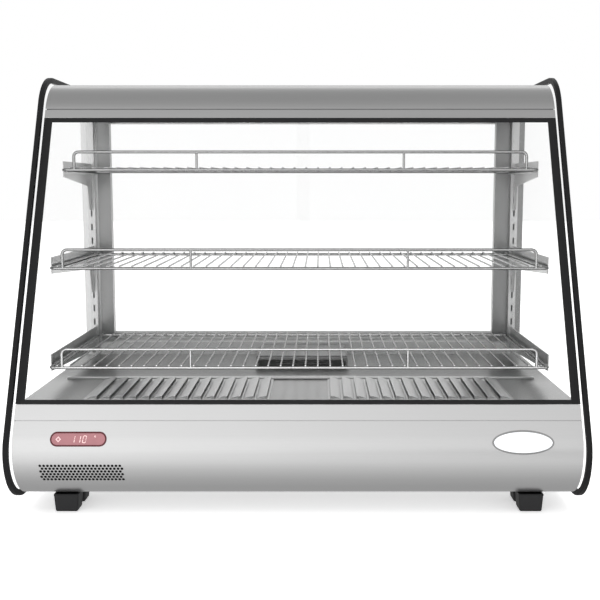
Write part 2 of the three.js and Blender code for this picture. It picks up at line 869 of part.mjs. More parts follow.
const trackSpan = 2 * trackLip + 2 * trackGroove + trackWeb;
const trackFront = bodyRear - trackSetback - trackSpan;
const trackHalf = liningHalf - seatGap;

// Two grooves side by side, opening up from the sill or down from the ceiling
function track(z0, z1, openUp) {
  const floor = trackFloor;
  const whole = block(-trackHalf, trackHalf, trackFront, trackFront + trackSpan, z0, z1);
  const grooves = [0, 1].map((index) => {
    const y0 = trackFront + trackLip + index * (trackGroove + trackWeb);
    return block(-trackHalf - cutMargin, trackHalf + cutMargin, y0, y0 + trackGroove,
      openUp ? z0 + floor : z0 - cutMargin, openUp ? z1 + cutMargin : z1 - floor);
  });
  return grooves.reduce((rail, groove) => rail.subtract(groove), whole);
}

function addTracks() {
  const low = sillHeight + seatGap;
  const high = ceilingHeight - seatGap;
  addPart('door_track_bottom', track(low, low + trackDepth, true), trackLook);
  addPart('door_track_top', track(high - 2 * trackDepth, high, false), trackLook);
}

function addDoors() {
  const low = sillHeight + seatGap + trackFloor + doorFloat;
  const high = ceilingHeight - seatGap - trackDepth;
  const outer = trackHalf - doorEdgeMargin;
  sides.forEach(({ name, sign }, index) => {
    const grooveFront = trackFront + trackLip + index * (trackGroove + trackWeb);
    const y0 = grooveFront + (trackGroove - doorThickness) / 2;
    const pane = sideBlock(sign, -doorOverlap / 2, outer, y0, y0 + doorThickness, low, high);
    addPart(`rear_door_${name}`, pane, glassLook);
    const x = outer - pullMargin;
    const z = (low + high) / 2;
    const face = y0 + doorThickness + seatGap;
    const pull = [
      [x - pullWidth, face],
      [x, face],
      [x, face + pullThickness / 2],
      [x - pullWidth, face + pullThickness],
    ];
    addPart(`door_pull_${name}`, upZ(sided(pull, sign), z - pullHeight / 2, z + pullHeight / 2), darkLook);
  });
}

// ---- Lamp, window and badge -----------------------------------------------------------------

function addLamp() {
  const lampLength = 2 * (bodyHalf - lampEndGap);
  const y = slantY(ceilingHeight, frontSetback) + ceilingFrontGap + lampInset;
  const top = ceilingHeight - seatGap;
  const low = top - lampDepth;
  const housing = block(-lampLength / 2, lampLength / 2, y - lampWidth / 2, y + lampWidth / 2, low, top);
  addPart('lamp_housing', housing, { color: 0xdedfe0, roughness: 0.4, metalness: 0.3 });
  const lens = block(-lampLength / 2, lampLength / 2, y - lampWidth / 2, y + lampWidth / 2,
    low - seatGap - lensDepth, low - seatGap);
  addPart('lamp_lens', lens, { color: 0xf4f2ea, roughness: 0.3, metalness: 0 });
}

// A thin plate that follows the belly of the front panel
function bellyPlate(outline, thickness) {
  const outer = acrossX(bodyOutline(-seatGap - thickness), -bodyHalf, bodyHalf);
  const inner = acrossX(bodyOutline(-seatGap), -bodyHalf - cutMargin, bodyHalf + cutMargin);
  const stamp = alongY(outline, bodyFront - cutMargin, bodyFront + cutMargin);
  return outer.subtract(inner).intersect(stamp);
}

function stadium(centre, level, width, height) {
  const r = height / 2;
  const run = width / 2 - r;
  return [
    ...arc(centre + run, level, r, -Math.PI / 2, Math.PI / 2),
    ...arc(centre - run, level, r, Math.PI / 2, 1.5 * Math.PI),
  ];
}

function addDisplay() {
  const outline = stadium(displayCentre, displayLevel, displayWidth, displayHeight);
  addPart('display_window', bellyPlate(outline, displayThickness), windowLook);
  const boardFront = bodyFront + displayBoardSetback;
  const board = block(displayCentre - displayWidth / 2, displayCentre + displayWidth / 2,
    boardFront, boardFront + displayBoardThickness,
    displayLevel - displayHeight, displayLevel + displayHeight / 2);
  addPart('display_board', board, { color: 0x23603a, roughness: 0.6, metalness: 0 });
}

function addBadge() {
  const oval = new THREE.EllipseCurve(badgeCentre, badgeLevel, badgeWidth / 2, badgeHeight / 2);
  const points = oval.getPoints(2 * roundSides).slice(0, -1).map((point) => [point.x, point.y]);
  addPart('badge_plate', bellyPlate(points, badgeThickness), badgeLook);
}

// ---- Rear controls and gland ----------------------------------------------------------------

const controlFace = bodyRear + seatGap + controlThickness;

function rockerPlaces() {
  return [-0.5, 0.5].map((step) => controlCentre + controlWidth / 4 + step * rockerSpacing);
}

function buttonPlaces() {
  return [-1, 0, 1].map((step) => controlCentre - controlWidth / 4 + step * buttonSpacing);
}

function addControls() {
  const plate = block(controlCentre - controlWidth / 2, controlCentre + controlWidth / 2, bodyRear + seatGap,
    controlFace, controlLevel - controlHeight / 2, controlLevel + controlHeight / 2);
  const rockerHoles = rockerPlaces().map((x) => block(x - rockerWidth / 2 - rockerGap,
    x + rockerWidth / 2 + rockerGap, bodyRear, controlFace + cutMargin,
    controlLevel - rockerHeight / 2 - rockerGap, controlLevel + rockerHeight / 2 + rockerGap));
  const buttonHoles = buttonPlaces().map((x) => bar([x, bodyRear, controlLevel],
    [x, controlFace + cutMargin, controlLevel], buttonDiameter + 2 * buttonGap));
  const holes = [...rockerHoles, ...buttonHoles];
  addPart('control_plate', holes.reduce((whole, hole) => whole.subtract(hole), plate), darkLook);

  // A rocker's section stays inside a circle about its pivot, so it turns in its hole; it rests tilted
  const section = [
    [rockerProud, 0],
    [rockerFaceLift, -rockerFaceHalf],
    [-rockerEndDrop, -rockerEndHalf],
    [-rockerDepth / 2, -rockerBackHalf],
    [-rockerDepth / 2, rockerBackHalf],
    [-rockerEndDrop, rockerEndHalf],
    [rockerFaceLift, rockerFaceHalf],
  ];
  const tilt = section.map(([y, z]) => [
    y * Math.cos(rockerTilt) - z * Math.sin(rockerTilt),
    y * Math.sin(rockerTilt) + z * Math.cos(rockerTilt),
  ]);
  const pivotY = bodyRear + seatGap + controlThickness / 2;
  rockerPlaces().forEach((x, index) => {
    const rocker = acrossX(tilt.map(([y, z]) => [y + pivotY, z + controlLevel]).reverse(),
      x - rockerWidth / 2, x + rockerWidth / 2);
    addPart(['power_rocker', 'lamp_rocker'][index], rocker,
      { color: index === 0 ? 0xb3201c : 0x1c1c1d, roughness: 0.4, metalness: 0 });
  });

  buttonPlaces().forEach((x, index) => {
    const button = bar([x, controlFace + buttonProud - buttonDepth, controlLevel],
      [x, controlFace + buttonProud, controlLevel], buttonDiameter);
    addPart(['button_set', 'button_down', 'button_up'][index], button,
      { color: 0x9a9b9d, roughness: 0.45, metalness: 0 });
  });
}

function addGland() {
  const at = (y) => [glandCentre, y, glandLevel];
  const nose = rearEdge - seatGap;
  const flangeFrom = bodyRear + seatGap;
  const body = bar(at(nose - glandDepth), at(nose), glandDiameter);
  const flange = bar(at(flangeFrom), at(flangeFrom + glandFlangeThickness), glandFlange, 6);
  const bore = bar(at(nose - glandDepth - cutMargin), at(nose + cutMargin), glandBore);
  addPart('cord_gland', union([body, flange]).subtract(bore), darkLook);
}

// ---- Feet -----------------------------------------------------------------------------------

// Each foot is one moulding: two pads in line under a common flange
function addFeet() {
  const outer = caseWidth / 2 - footInset;
  const inner = outer - footWidth;
  const top = groundClearance - seatGap;
  const pad = [
    [inner + footChamfer, 0],
    [outer - footTaper, 0],
    [outer, top],
    [inner, top],
    [inner, footChamfer],
  ];
  const length = 2 * footPadLength + footPadGap;
  const ends = [
    { name: 'front', y0: frontEdge + footFront },
    { name: 'rear', y0: rearEdge - footRearMargin - length },
  ];
  for (const { name: end, y0 } of ends) {
    for (const { name, sign } of sides) {
      const pads = [0, footPadLength + footPadGap].map((offset) =>
        alongY(sided(pad, sign), y0 + offset, y0 + offset + footPadLength));
      const flange = sideBlock(sign, inner, outer, y0 + footFlangeInset, y0 + length - footFlangeInset,
        top - footFlange, top);
      addPart(`foot_${end}_${name}`, union([...pads, flange]), footLook);
    }
  }
}

addSidePanels();
addLowerBody();
addRearPanel();
addCanopy();
addFrontGlass();
addLamp();
addRearPosts();
addStandards();
addBrackets();
addShelves();
addDeck();
addLouvrePlates();
addHood();
addPlenum();
addHeaters();
addFan();
addTracks();
addDoors();
addDisplay();
addBadge();
addControls();
addGland();
addFeet();

export default display;
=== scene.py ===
import math

import bmesh
import bpy
from mathutils import Matrix, Vector


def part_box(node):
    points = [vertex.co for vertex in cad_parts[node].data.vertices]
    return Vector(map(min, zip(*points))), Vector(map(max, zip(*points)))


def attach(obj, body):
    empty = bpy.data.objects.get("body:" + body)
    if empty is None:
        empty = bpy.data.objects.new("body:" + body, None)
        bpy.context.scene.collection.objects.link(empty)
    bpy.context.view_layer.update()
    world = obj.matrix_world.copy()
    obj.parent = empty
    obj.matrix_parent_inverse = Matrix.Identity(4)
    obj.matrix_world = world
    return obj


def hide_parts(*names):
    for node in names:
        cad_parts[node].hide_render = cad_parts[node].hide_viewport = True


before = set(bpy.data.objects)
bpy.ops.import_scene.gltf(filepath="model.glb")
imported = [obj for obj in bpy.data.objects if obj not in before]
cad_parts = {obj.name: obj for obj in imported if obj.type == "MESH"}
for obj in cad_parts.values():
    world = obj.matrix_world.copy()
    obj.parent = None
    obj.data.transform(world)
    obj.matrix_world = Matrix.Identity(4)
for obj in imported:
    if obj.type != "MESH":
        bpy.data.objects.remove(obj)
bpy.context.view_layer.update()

mm = 0.001


def boxOf(node):
    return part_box(node)


def onlySelect(obj):
    bpy.ops.object.select_all(action="DESELECT")
    obj.select_set(True)
    bpy.context.view_layer.objects.active = obj


def named(obj, name):
    obj.name = name
    obj.data.name = name
    return obj


def openAll(obj, kind="VERT"):
    # edit mode with everything selected
    onlySelect(obj)
    bpy.ops.object.mode_set(mode="EDIT")
    bpy.ops.mesh.select_mode(type=kind)
    bpy.ops.mesh.select_all(action="SELECT")


def settle(obj):
    onlySelect(obj)
    bpy.ops.object.transform_apply(location=True, rotation=True, scale=True)


def pick(obj, test, kind="VERT"):
    # leaves the object in edit mode with just the wanted vertices, edges or faces selected
    onlySelect(obj)
    bpy.ops.object.mode_set(mode="EDIT")
    bpy.ops.mesh.select_mode(type=kind)
    bpy.ops.mesh.select_all(action="DESELECT")
    shape = bmesh.from_edit_mesh(obj.data)
    group = {"VERT": shape.verts, "EDGE": shape.edges, "FACE": shape.faces}[kind]
    for part in group:
        part.select = bool(test(part))
    shape.select_flush_mode()
    bmesh.update_edit_mesh(obj.data)


def leaveEdit():
    bpy.ops.object.mode_set(mode="OBJECT")


def middle(part):
    corners = [v.co for v in part.verts]
    return sum(corners, Vector()) / len(corners)


def cleanUp(obj, distance=1e-5):
    openAll(obj)
    bpy.ops.mesh.remove_doubles(threshold=distance)
    bpy.ops.mesh.normals_make_consistent(inside=False)
    leaveEdit()


def startPoint(name, where):
    # one loose vertex to draw from
    bpy.ops.object.select_all(action="DESELECT")
    bpy.ops.mesh.primitive_plane_add(size=0.01, location=(0, 0, 0))
    obj = named(bpy.context.object, name)
    openAll(obj)
    bpy.ops.mesh.merge(type="CENTER")
    bpy.ops.transform.translate(value=where)
    return obj


def drawChain(name, points, closed=False):
    # extrudes a vertex from point to point; stays in edit mode with everything selected
    points = [Vector(p) for p in points]
    obj = startPoint(name, points[0])
    for before, after in zip(points, points[1:]):
        bpy.ops.mesh.extrude_region_move(TRANSFORM_OT_translate={"value": after - before})
    bpy.ops.mesh.select_all(action="SELECT")
    if closed:
        bpy.ops.mesh.edge_face_add()
    return obj


def applied(obj, kind, **settings):
    # adds a modifier, sets it and finishes it
    onlySelect(obj)
    modifier = obj.modifiers.new(kind, kind)
    for setting, value in settings.items():
        setattr(modifier, setting, value)
    bpy.ops.object.modifier_apply(modifier=modifier.name)


def addBevel(obj, width, segments=2, angle=35):
    applied(obj, "BEVEL", width=width, segments=segments, limit_method="ANGLE",
            angle_limit=math.radians(angle))


def addWall(obj, thickness, offset=-1):
    applied(obj, "SOLIDIFY", thickness=thickness, offset=offset, use_even_offset=True)


def cutWith(obj, cutter):
    applied(obj, "BOOLEAN", operation="DIFFERENCE", solver="EXACT", object=cutter)
    bpy.data.objects.remove(cutter, do_unlink=True)


def smooth(obj, angle=30):
    # big faces keep their own direction where they meet a small bevel
    onlySelect(obj)
    bpy.ops.object.shade_smooth_by_angle(angle=math.radians(angle))
    applied(obj, "WEIGHTED_NORMAL", keep_sharp=True)


def hollowed(obj, test, inset, move):
    # insets the picked faces and pushes them in
    pick(obj, test, "FACE")
    bpy.ops.mesh.inset(thickness=inset)
    bpy.ops.mesh.extrude_region_move(TRANSFORM_OT_translate={"value": move})
    leaveEdit()


def roundEdges(obj, test, width):
    pick(obj, test, "EDGE")
    bpy.ops.mesh.bevel(offset=width, segments=5)
    leaveEdit()


def joinAll(name, pieces):
    bpy.ops.object.select_all(action="DESELECT")
    for piece in pieces:
        piece.select_set(True)
    bpy.context.view_layer.objects.active = pieces[0]
    if len(pieces) > 1:
        bpy.ops.object.join()
    return named(bpy.context.object, name)


def copyOf(obj, name, offset=(0, 0, 0)):
    twin = obj.copy()
    twin.data = obj.data.copy()
    named(twin, name)
    bpy.context.collection.objects.link(twin)
    twin.data.transform(Matrix.Translation(Vector(offset)))
    return twin


def repeated(first, name, offsets):
    # a copy at each offset, in place of the first piece
    copies = [copyOf(first, name, offset) for offset in offsets]
    bpy.data.objects.remove(first, do_unlink=True)
    return copies


def mirrorOf(obj, name):
    # the same piece on the other side of the case
    twin = copyOf(obj, name)
    twin.scale = (-1, 1, 1)
    settle(twin)
    openAll(twin)
    bpy.ops.mesh.normals_make_consistent(inside=False)
    leaveEdit()
    return twin


def block(name, low, high, bevel=0.0, segments=2):
    # a box between two corners, with its edges eased
    low, high = Vector(low), Vector(high)
    bpy.ops.object.select_all(action="DESELECT")
    bpy.ops.mesh.primitive_cube_add(size=1, location=(low + high) / 2)
    obj = named(bpy.context.object, name)
    obj.scale = high - low
    settle(obj)
    if bevel:
        addBevel(obj, bevel, segments)
    return obj


def disc(name, centre, radius, depth, along, sides=32, bevel=0.0, segments=2):
    # a round bar with its axis along a direction
    bpy.ops.object.select_all(action="DESELECT")
    bpy.ops.mesh.primitive_cylinder_add(vertices=sides, radius=radius, depth=depth)
    obj = named(bpy.context.object, name)
    obj.rotation_euler = Vector(along).to_track_quat("Z", "Y").to_euler()
    obj.location = Vector(centre)
    settle(obj)
    if bevel:
        addBevel(obj, bevel, segments, 50)
    return obj


def plate(name, outline, along, bevel=0.0, segments=2):
    # a flat outline of 3-D points, filled and pulled out to its depth
    obj = drawChain(name, outline, closed=True)
    bpy.ops.mesh.extrude_region_move(TRANSFORM_OT_translate={"value": along})
    leaveEdit()
    cleanUp(obj)
    if bevel:
        addBevel(obj, bevel, segments)
    return obj


bendSteps = 6


def bentWire(name, start, steps, diameter, sides, closed=False):
    # a round wire: a ring pulled along each run and spun round each bend
    # a run is ("run", vector) and a bend is ("bend", centre, axis, degrees)
    first = Vector(steps[0][1]).normalized()
    bpy.ops.object.select_all(action="DESELECT")
    bpy.ops.mesh.primitive_circle_add(vertices=sides, radius=diameter / 2)
    obj = named(bpy.context.object, name)
    obj.rotation_euler = first.to_track_quat("Z", "Y").to_euler()
    obj.location = Vector(start)
    settle(obj)
    openAll(obj, "EDGE")
    for step in steps:
        if step[0] == "run":
            bpy.ops.mesh.extrude_region_move(TRANSFORM_OT_translate={"value": step[1]})
        else:
            centre, axis, turn = step[1:]
            bpy.ops.mesh.spin(steps=bendSteps, angle=-math.radians(turn), center=centre, axis=axis)
    if not closed:
        bpy.ops.mesh.select_all(action="SELECT")
        bpy.ops.mesh.fill_holes(sides=0)
    leaveEdit()
    cleanUp(obj, 2e-5)
    return obj


def arcPoints(centre, radius, fromAngle, toAngle, steps):
    angles = [math.radians(fromAngle + (toAngle - fromAngle) * i / steps) for i in range(steps + 1)]
    return [(centre[0] + radius * math.cos(a), centre[1] + radius * math.sin(a)) for a in angles]


def placed(obj, body, material, instead=(), smoothAngle=30):
    # finish, body and the CAD nodes that the piece stands for
    if smoothAngle:
        smooth(obj, smoothAngle)
    obj.data.materials.append(material)
    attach(obj, body)
    if instead:
        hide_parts(*([instead] if isinstance(instead, str) else instead))
    return obj


class Term:
    def __init__(self, finish, socket):
        self.finish = finish
        self.socket = socket

    def maths(self, operation, other, swapped=False):
        pair = [other, self] if swapped else [self, other]
        return self.finish.node("ShaderNodeMath", {"operation": operation}, {0: pair[0], 1: pair[1]})

    def __add__(self, other):
        return self.maths("ADD", other)

    def __radd__(self, other):
        return self.maths("ADD", other, True)

    def __sub__(self, other):
        return self.maths("SUBTRACT", other)

    def __rsub__(self, other):
        return self.maths("SUBTRACT", other, True)

    def __mul__(self, other):
        return self.maths("MULTIPLY", other)

    def __rmul__(self, other):
        return self.maths("MULTIPLY", other, True)


class Finish:
    def __init__(self, name, **constants):
        self.material = bpy.data.materials.new(name)
        self.material.use_nodes = True
        self.tree = self.material.node_tree
        self.shader = self.tree.nodes["Principled BSDF"]
        for socketName, value in constants.items():
            self.shader.inputs[socketNames[socketName]].default_value = value

    def node(self, kind, settings=None, sockets=None, out=0):
        made = self.tree.nodes.new(kind)
        for name, value in (settings or {}).items():
            if name == "stops":
                self.setStops(made.color_ramp, value)
            else:
                setattr(made, name, value)
        for name, value in (sockets or {}).items():
            self.feed(made.inputs[name], value)
        return Term(self, made.outputs[out])

    def setStops(self, ramp, stops):
        while len(ramp.elements) < len(stops):
            ramp.elements.new(0.5)
        for element, (place, colour) in zip(ramp.elements, stops):
            element.position = place
            element.color = colour if len(colour) == 4 else (*colour, 1)

    def feed(self, socket, value):
        if isinstance(value, Term):
            self.tree.links.new(value.socket, socket)
        else:
            socket.default_value = value

    def coordinates(self, scale=(1, 1, 1), offset=(0, 0, 0), turn=(0, 0, 0)):
        place = self.node("ShaderNodeTexCoord", out="Object")
        return self.node("ShaderNodeMapping", None,
                         {"Vector": place, "Scale": scale, "Location": offset, "Rotation": turn})

    def noise(self, where, scale, detail=3.0, roughness=0.55):
        sockets = {"Vector": where, "Scale": scale, "Detail": detail, "Roughness": roughness}
        return self.node("ShaderNodeTexNoise", None, sockets, "Fac")

    def along(self, axis):
        # the place along one axis of the object
        parts = self.tree.nodes.new("ShaderNodeSeparateXYZ")
        self.feed(parts.inputs[0], self.node("ShaderNodeTexCoord", out="Object"))
        return Term(self, parts.outputs[axis])

    def mixed(self, factor, first, second):
        # colours go through Mix, so that they stay colours
        made = self.tree.nodes.new("ShaderNodeMix")
        made.data_type = "RGBA"
        self.feed(made.inputs[0], factor)
        self.feed(made.inputs[6], first)
        self.feed(made.inputs[7], second)
        return Term(self, made.outputs[2])

    def ranged(self, value, low, high, fromLow=0.3, fromHigh=0.7):
        return self.node("ShaderNodeMapRange", None,
                         {"Value": value, "From Min": fromLow, "From Max": fromHigh,
                          "To Min": low, "To Max": high})

    def bump(self, height, strength, distance):
        normal = self.node("ShaderNodeBump", None,
                           {"Height": height, "Strength": strength, "Distance": distance})
        self.feed(self.shader.inputs["Normal"], normal)

    def into(self, name, value):
        self.feed(self.shader.inputs[name], value)


socketNames = {
    "metallic": "Metallic", "roughness": "Roughness", "ior": "IOR", "specular": "Specular IOR Level",
    "glow": "Emission Color", "emission": "Emission Strength",
}


def grey(value):
    return (value, value, value, 1)


# brushed sheet: fine even streaks along one axis, a slow wander of tone, faint handling marks, and where
# given, painted light: another tone further along one axis
def brushedSteel(name, tone, along="x", streak=0.01, rough=0.3, paintedLight=None):
    finish = Finish(name, metallic=1.0)
    stretch = {"x": (4, 900, 900), "y": (900, 4, 900), "z": (900, 900, 4)}[along]
    streaks = finish.noise(finish.coordinates(stretch), 1.0, 3.0, 0.6)
    wander = finish.noise(finish.coordinates(), 4.0, 1.0)
    marks = finish.noise(finish.coordinates(offset=(3, 1, 2)), 30.0, 3.0, 0.6)
    lighter = finish.mixed(finish.ranged(streaks, 0, 1), grey(tone - streak), grey(tone + streak))
    colour = finish.mixed(finish.ranged(wander, 0, 0.2), lighter, grey(tone * 0.96))
    if paintedLight:
        # painted light: another tone further along one axis, a painted highlight on the rear posts and
        # painted shade on the deck
        paintedShare = finish.ranged(finish.along(paintedLight["axis"]), 0, 1, paintedLight["start"], paintedLight["end"])
        colour = finish.mixed(paintedShare, colour, grey(paintedLight["tone"]))
    finish.into("Base Color", colour)
    finish.into("Roughness", finish.ranged(streaks, rough - 0.02, rough + 0.03) + (marks - 0.5) * 0.03)
    finish.bump(streaks, 0.006, 0.0001)
    return finish.material


def platedWire(name, tone, rough):
    # painted reflection: bright down the middle and dark at the sides, as plated wire looks in a pale
    # room
    finish = Finish(name, metallic=1.0)
    cloud = finish.noise(finish.coordinates(), 60.0, 3.0)
    facing = finish.node("ShaderNodeLayerWeight", None, {"Blend": 0.5}, out="Facing")
    body = finish.mixed(finish.ranged(cloud, 0, 1), grey(tone - 0.04), grey(tone + 0.03))
    # painted reflection: the sides darken towards near black as they turn away from the view
    side = finish.ranged(facing, 0, 1, 0.02, 0.36)
    finish.into("Base Color", finish.mixed(side, body, grey(tone * 0.12)))
    finish.into("Roughness", finish.ranged(cloud, rough - 0.04, rough + 0.08))
    finish.bump(finish.noise(finish.coordinates(), 900.0, 2.0), 0.06, 0.0001)
    return finish.material


def clearGlass(name, tint, body, edge):
    # almost nothing face on, more reflection at a glance
    finish = Finish(name, roughness=0.02, ior=1.5, specular=0.6)
    facing = finish.node("ShaderNodeLayerWeight", None, {"Blend": 0.28}, out="Facing")
    haze = finish.noise(finish.coordinates(), 7.0, 2.0)
    finish.into("Base Color", finish.mixed(finish.ranged(haze, 0, 1), tint, grey(tint[1] * 0.97)))
    finish.into("Roughness", finish.ranged(haze, 0.015, 0.04))
    finish.into("Alpha", finish.ranged(facing, body, edge, 0.55, 1.0))
    return finish.material


def dullSkin(name, colour, rough, grain, depth, mottle=0.12, gloss=0.3):
    # moulded plastic, rubber, printed ink or paint: fine grain, slightly uneven tone
    finish = Finish(name, specular=gloss)
    patch = finish.noise(finish.coordinates(), 22.0, 3.0)
    fine = finish.noise(finish.coordinates(), grain, 2.0)
    darker = tuple(c * (1 - mottle) for c in colour[:3]) + (1,)
    lighter = tuple(min(1.0, c * (1 + mottle)) for c in colour[:3]) + (1,)
    finish.into("Base Color", finish.mixed(finish.ranged(patch, 0, 1), darker, lighter))
    finish.into("Roughness", finish.ranged(patch, rough - 0.05, rough + 0.05) + (fine - 0.5) * 0.06)
    finish.bump(fine, 0.15, depth)
    return finish.material


# the canopy tone is a darker copy of the sheet tone, painted shade, and the bottom shelf's wire tone a
# brighter copy of the wire tone, painted light
steelTones = {"sheet": 0.58, "canopy": 0.39, "deck": 0.38, "post": 0.25, "standard": 0.52, "bright": 0.6,
              "louvre": 0.62, "hanger": 0.5, "wire": 0.45, "litLowWire": 0.8, "rim": 0.3, "track": 0.5}
# painted highlight: the outer flange of the left rear post is paler than the rest of the post, standing
# in for a reflection
postPaintedHighlight = {"axis": 0, "start": -399 * mm, "end": -400 * mm, "tone": 0.58}
# painted shade: the deck finish, which the fan hood shares, goes darker towards the rear, under the
# shelves
deckPaintedShade = {"axis": 1, "start": -70 * mm, "end": 10 * mm, "tone": 0.16}

brushedFront = brushedSteel("brushedFront", steelTones["sheet"], "x", 0.01, 0.3)
brushedSide = brushedSteel("brushedSide", steelTones["sheet"], "y", 0.01, 0.3)
# painted shade: the canopy steel is a darker copy of the sheet steel, standing in for the darker
# reflections on the canopy
shadedCanopySteel = brushedSteel("shadedCanopySteel", steelTones["canopy"], "x", 0.01, 0.3)
brushedPostWithHighlight = brushedSteel("brushedPostWithHighlight", steelTones["post"], "z", 0.006, 0.3, postPaintedHighlight)
brushedStandard = brushedSteel("brushedStandard", steelTones["standard"], "z", 0.008, 0.28)
rimSteel = brushedSteel("rimSteel", steelTones["rim"], "x", 0.008, 0.24)
shadedSatinDeck = brushedSteel("shadedSatinDeck", steelTones["deck"], "x", 0.008, 0.3, deckPaintedShade)
louvreSteel = brushedSteel("louvreSteel", steelTones["louvre"], "y", 0.008, 0.32)
brightPlate = brushedSteel("brightPlate", steelTones["bright"], "y", 0.004, 0.3)
hangerPlate = brushedSteel("hangerPlate", steelTones["hanger"], "y", 0.004, 0.34)
chromeWire = platedWire("chromeWire", steelTones["wire"], 0.16)
# painted light: the bottom shelf's wire is a brighter copy of the same plated wire, standing in for the
# extra light it catches
litLowShelfWire = platedWire("litLowShelfWire", steelTones["litLowWire"], 0.2)
trackMetal = brushedSteel("trackMetal", steelTones["track"], "x", 0.01, 0.36)
paneGlass = clearGlass("paneGlass", (0.7, 0.78, 0.75, 1), 0.012, 0.3)
sideGlassSkin = clearGlass("sideGlassSkin", (0.75, 0.83, 0.8, 1), 0.02, 0.3)
blackInk = dullSkin("blackInk", (0.01, 0.01, 0.0105, 1), 0.35, 900.0, 0.00002, gloss=0.15)
edgeRubber = dullSkin("edgeRubber", (0.007, 0.007, 0.0075, 1), 0.5, 700.0, 0.00008, gloss=0.14)
footRubber = dullSkin("footRubber", (0.017, 0.017, 0.018, 1), 0.6, 520.0, 0.0002)
blackPlastic = dullSkin("blackPlastic", (0.02, 0.02, 0.021, 1), 0.45, 800.0, 0.0001)
greyPlastic = dullSkin("greyPlastic", (0.3, 0.3, 0.31, 1), 0.45, 800.0, 0.0001, 0.05)
redPlastic = dullSkin("redPlastic", (0.42, 0.018, 0.014, 1), 0.3, 800.0, 0.00005, 0.05)
capPaint = dullSkin("capPaint", (0.2, 0.2, 0.205, 1), 0.45, 600.0, 0.0001, 0.06)
lampPaint = dullSkin("lampPaint", (0.75, 0.75, 0.74, 1), 0.4, 600.0, 0.0001, 0.03)
lampLens = dullSkin("lampLens", (0.86, 0.85, 0.82, 1), 0.35, 600.0, 0.0001, 0.02)
heaterSkin = dullSkin("heaterSkin", (0.13, 0.105, 0.09, 1), 0.55, 500.0, 0.0002, 0.25)
boardGreen = dullSkin("boardGreen", (0.03, 0.16, 0.07, 1), 0.4, 300.0, 0.0001, 0.2)
print("materials made")

# radii and heights of the side profile, and how far the steel skin stands behind the glass sides
profile = {
    "slant": 24.9, "bellyHeight": 109 * mm, "bellyUpper": 62 * mm, "shoulder": 80 * mm,
    "rearCorner": 12 * mm, "arcSteps": 28, "smallSteps": 8,
}

trimLow, trimHigh = boxOf("edge_trim_left")
bodyLow, bodyHigh = boxOf("canopy_shell")
panelLow, panelHigh = boxOf("front_panel")
glassLow, glassHigh = boxOf("front_glass")
frontEdge, rearEdge = trimLow.y, trimHigh.y
bodyHalf = bodyHigh.x
setback = panelLow.y - frontEdge


def slantY(z, back=0.0):
    turn = math.radians(profile["slant"])
    startY = frontEdge + back + profile["bellyUpper"] * (1 - math.cos(turn))
    startZ = profile["bellyHeight"] + profile["bellyUpper"] * math.sin(turn)
    return startY + (z - startZ) * math.tan(turn)


pressed = {"ease": 0.3 * mm, "panelEase": 0.35 * mm}


def sideLine(back, top, rear, inset, bottom):
    # the closed side profile, from the bottom front round to the bottom rear
    slant = profile["slant"]
    turn = math.radians(slant)
    front = frontEdge + back
    lower = profile["bellyHeight"] - bottom
    shoulderZ = top - profile["shoulder"]
    shoulderY = slantY(shoulderZ, back) + profile["shoulder"] / math.cos(turn)
    corner = profile["rearCorner"]
    steps, few = profile["arcSteps"], profile["smallSteps"]
    line = arcPoints((front + lower, profile["bellyHeight"]), lower - inset, 270, 180, steps)
    line += arcPoints((front + profile["bellyUpper"], profile["bellyHeight"]),
                      profile["bellyUpper"] - inset, 180, 180 - slant, few)[1:]
    line += arcPoints((shoulderY, shoulderZ), profile["shoulder"] - inset, 180 - slant, 90, steps)
    line += arcPoints((rear - corner, top - corner), corner - inset, 90, 0, few)
    line += arcPoints((rear - corner, bottom + corner), corner - inset, 0, -90, few)
    return line


def faceTowards(obj, direction):
    # turns a sheet over if it looks the wrong way
    looks = sum((face.normal * face.area for face in obj.data.polygons), Vector())
    if looks.dot(Vector(direction)) < 0:
        openAll(obj)
        bpy.ops.mesh.flip_normals()
        leaveEdit()


def sheetAcross(name, line, half, gauge, facing):
    # a side-view line pulled across the case and given its gauge on the inside
    obj = drawChain(name, [(-half, y, z) for y, z in line])
    bpy.ops.mesh.extrude_region_move(TRANSFORM_OT_translate={"value": (2 * half, 0, 0)})
    leaveEdit()
    cleanUp(obj)
    faceTowards(obj, facing)
    addWall(obj, gauge)
    addBevel(obj, pressed["ease"], 2, 50)
    return obj


def refined(node, name, ease=pressed["ease"], segments=2):
    # a copy of a part's own shape, merged and with its edges eased
    obj = named(bpy.data.objects.new(name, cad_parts[node].data.copy()), name)
    obj.data.materials.clear()
    bpy.context.collection.objects.link(obj)
    openAll(obj)
    bpy.ops.mesh.customdata_custom_splitnormals_clear()
    bpy.ops.mesh.remove_doubles(threshold=1e-5)
    bpy.ops.mesh.dissolve_limited(angle_limit=math.radians(2))
    leaveEdit()
    addBevel(obj, ease, segments)
    return obj


def finishNode(node, material):
    # a part that keeps its shape takes a proper finish
    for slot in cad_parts[node].material_slots:
        slot.material = material


# side panels: a moulded black edge round clear glass
sidePanel = {"trimWidth": 9 * mm, "trimRound": 1.4 * mm, "glassSeat": 8.4 * mm}


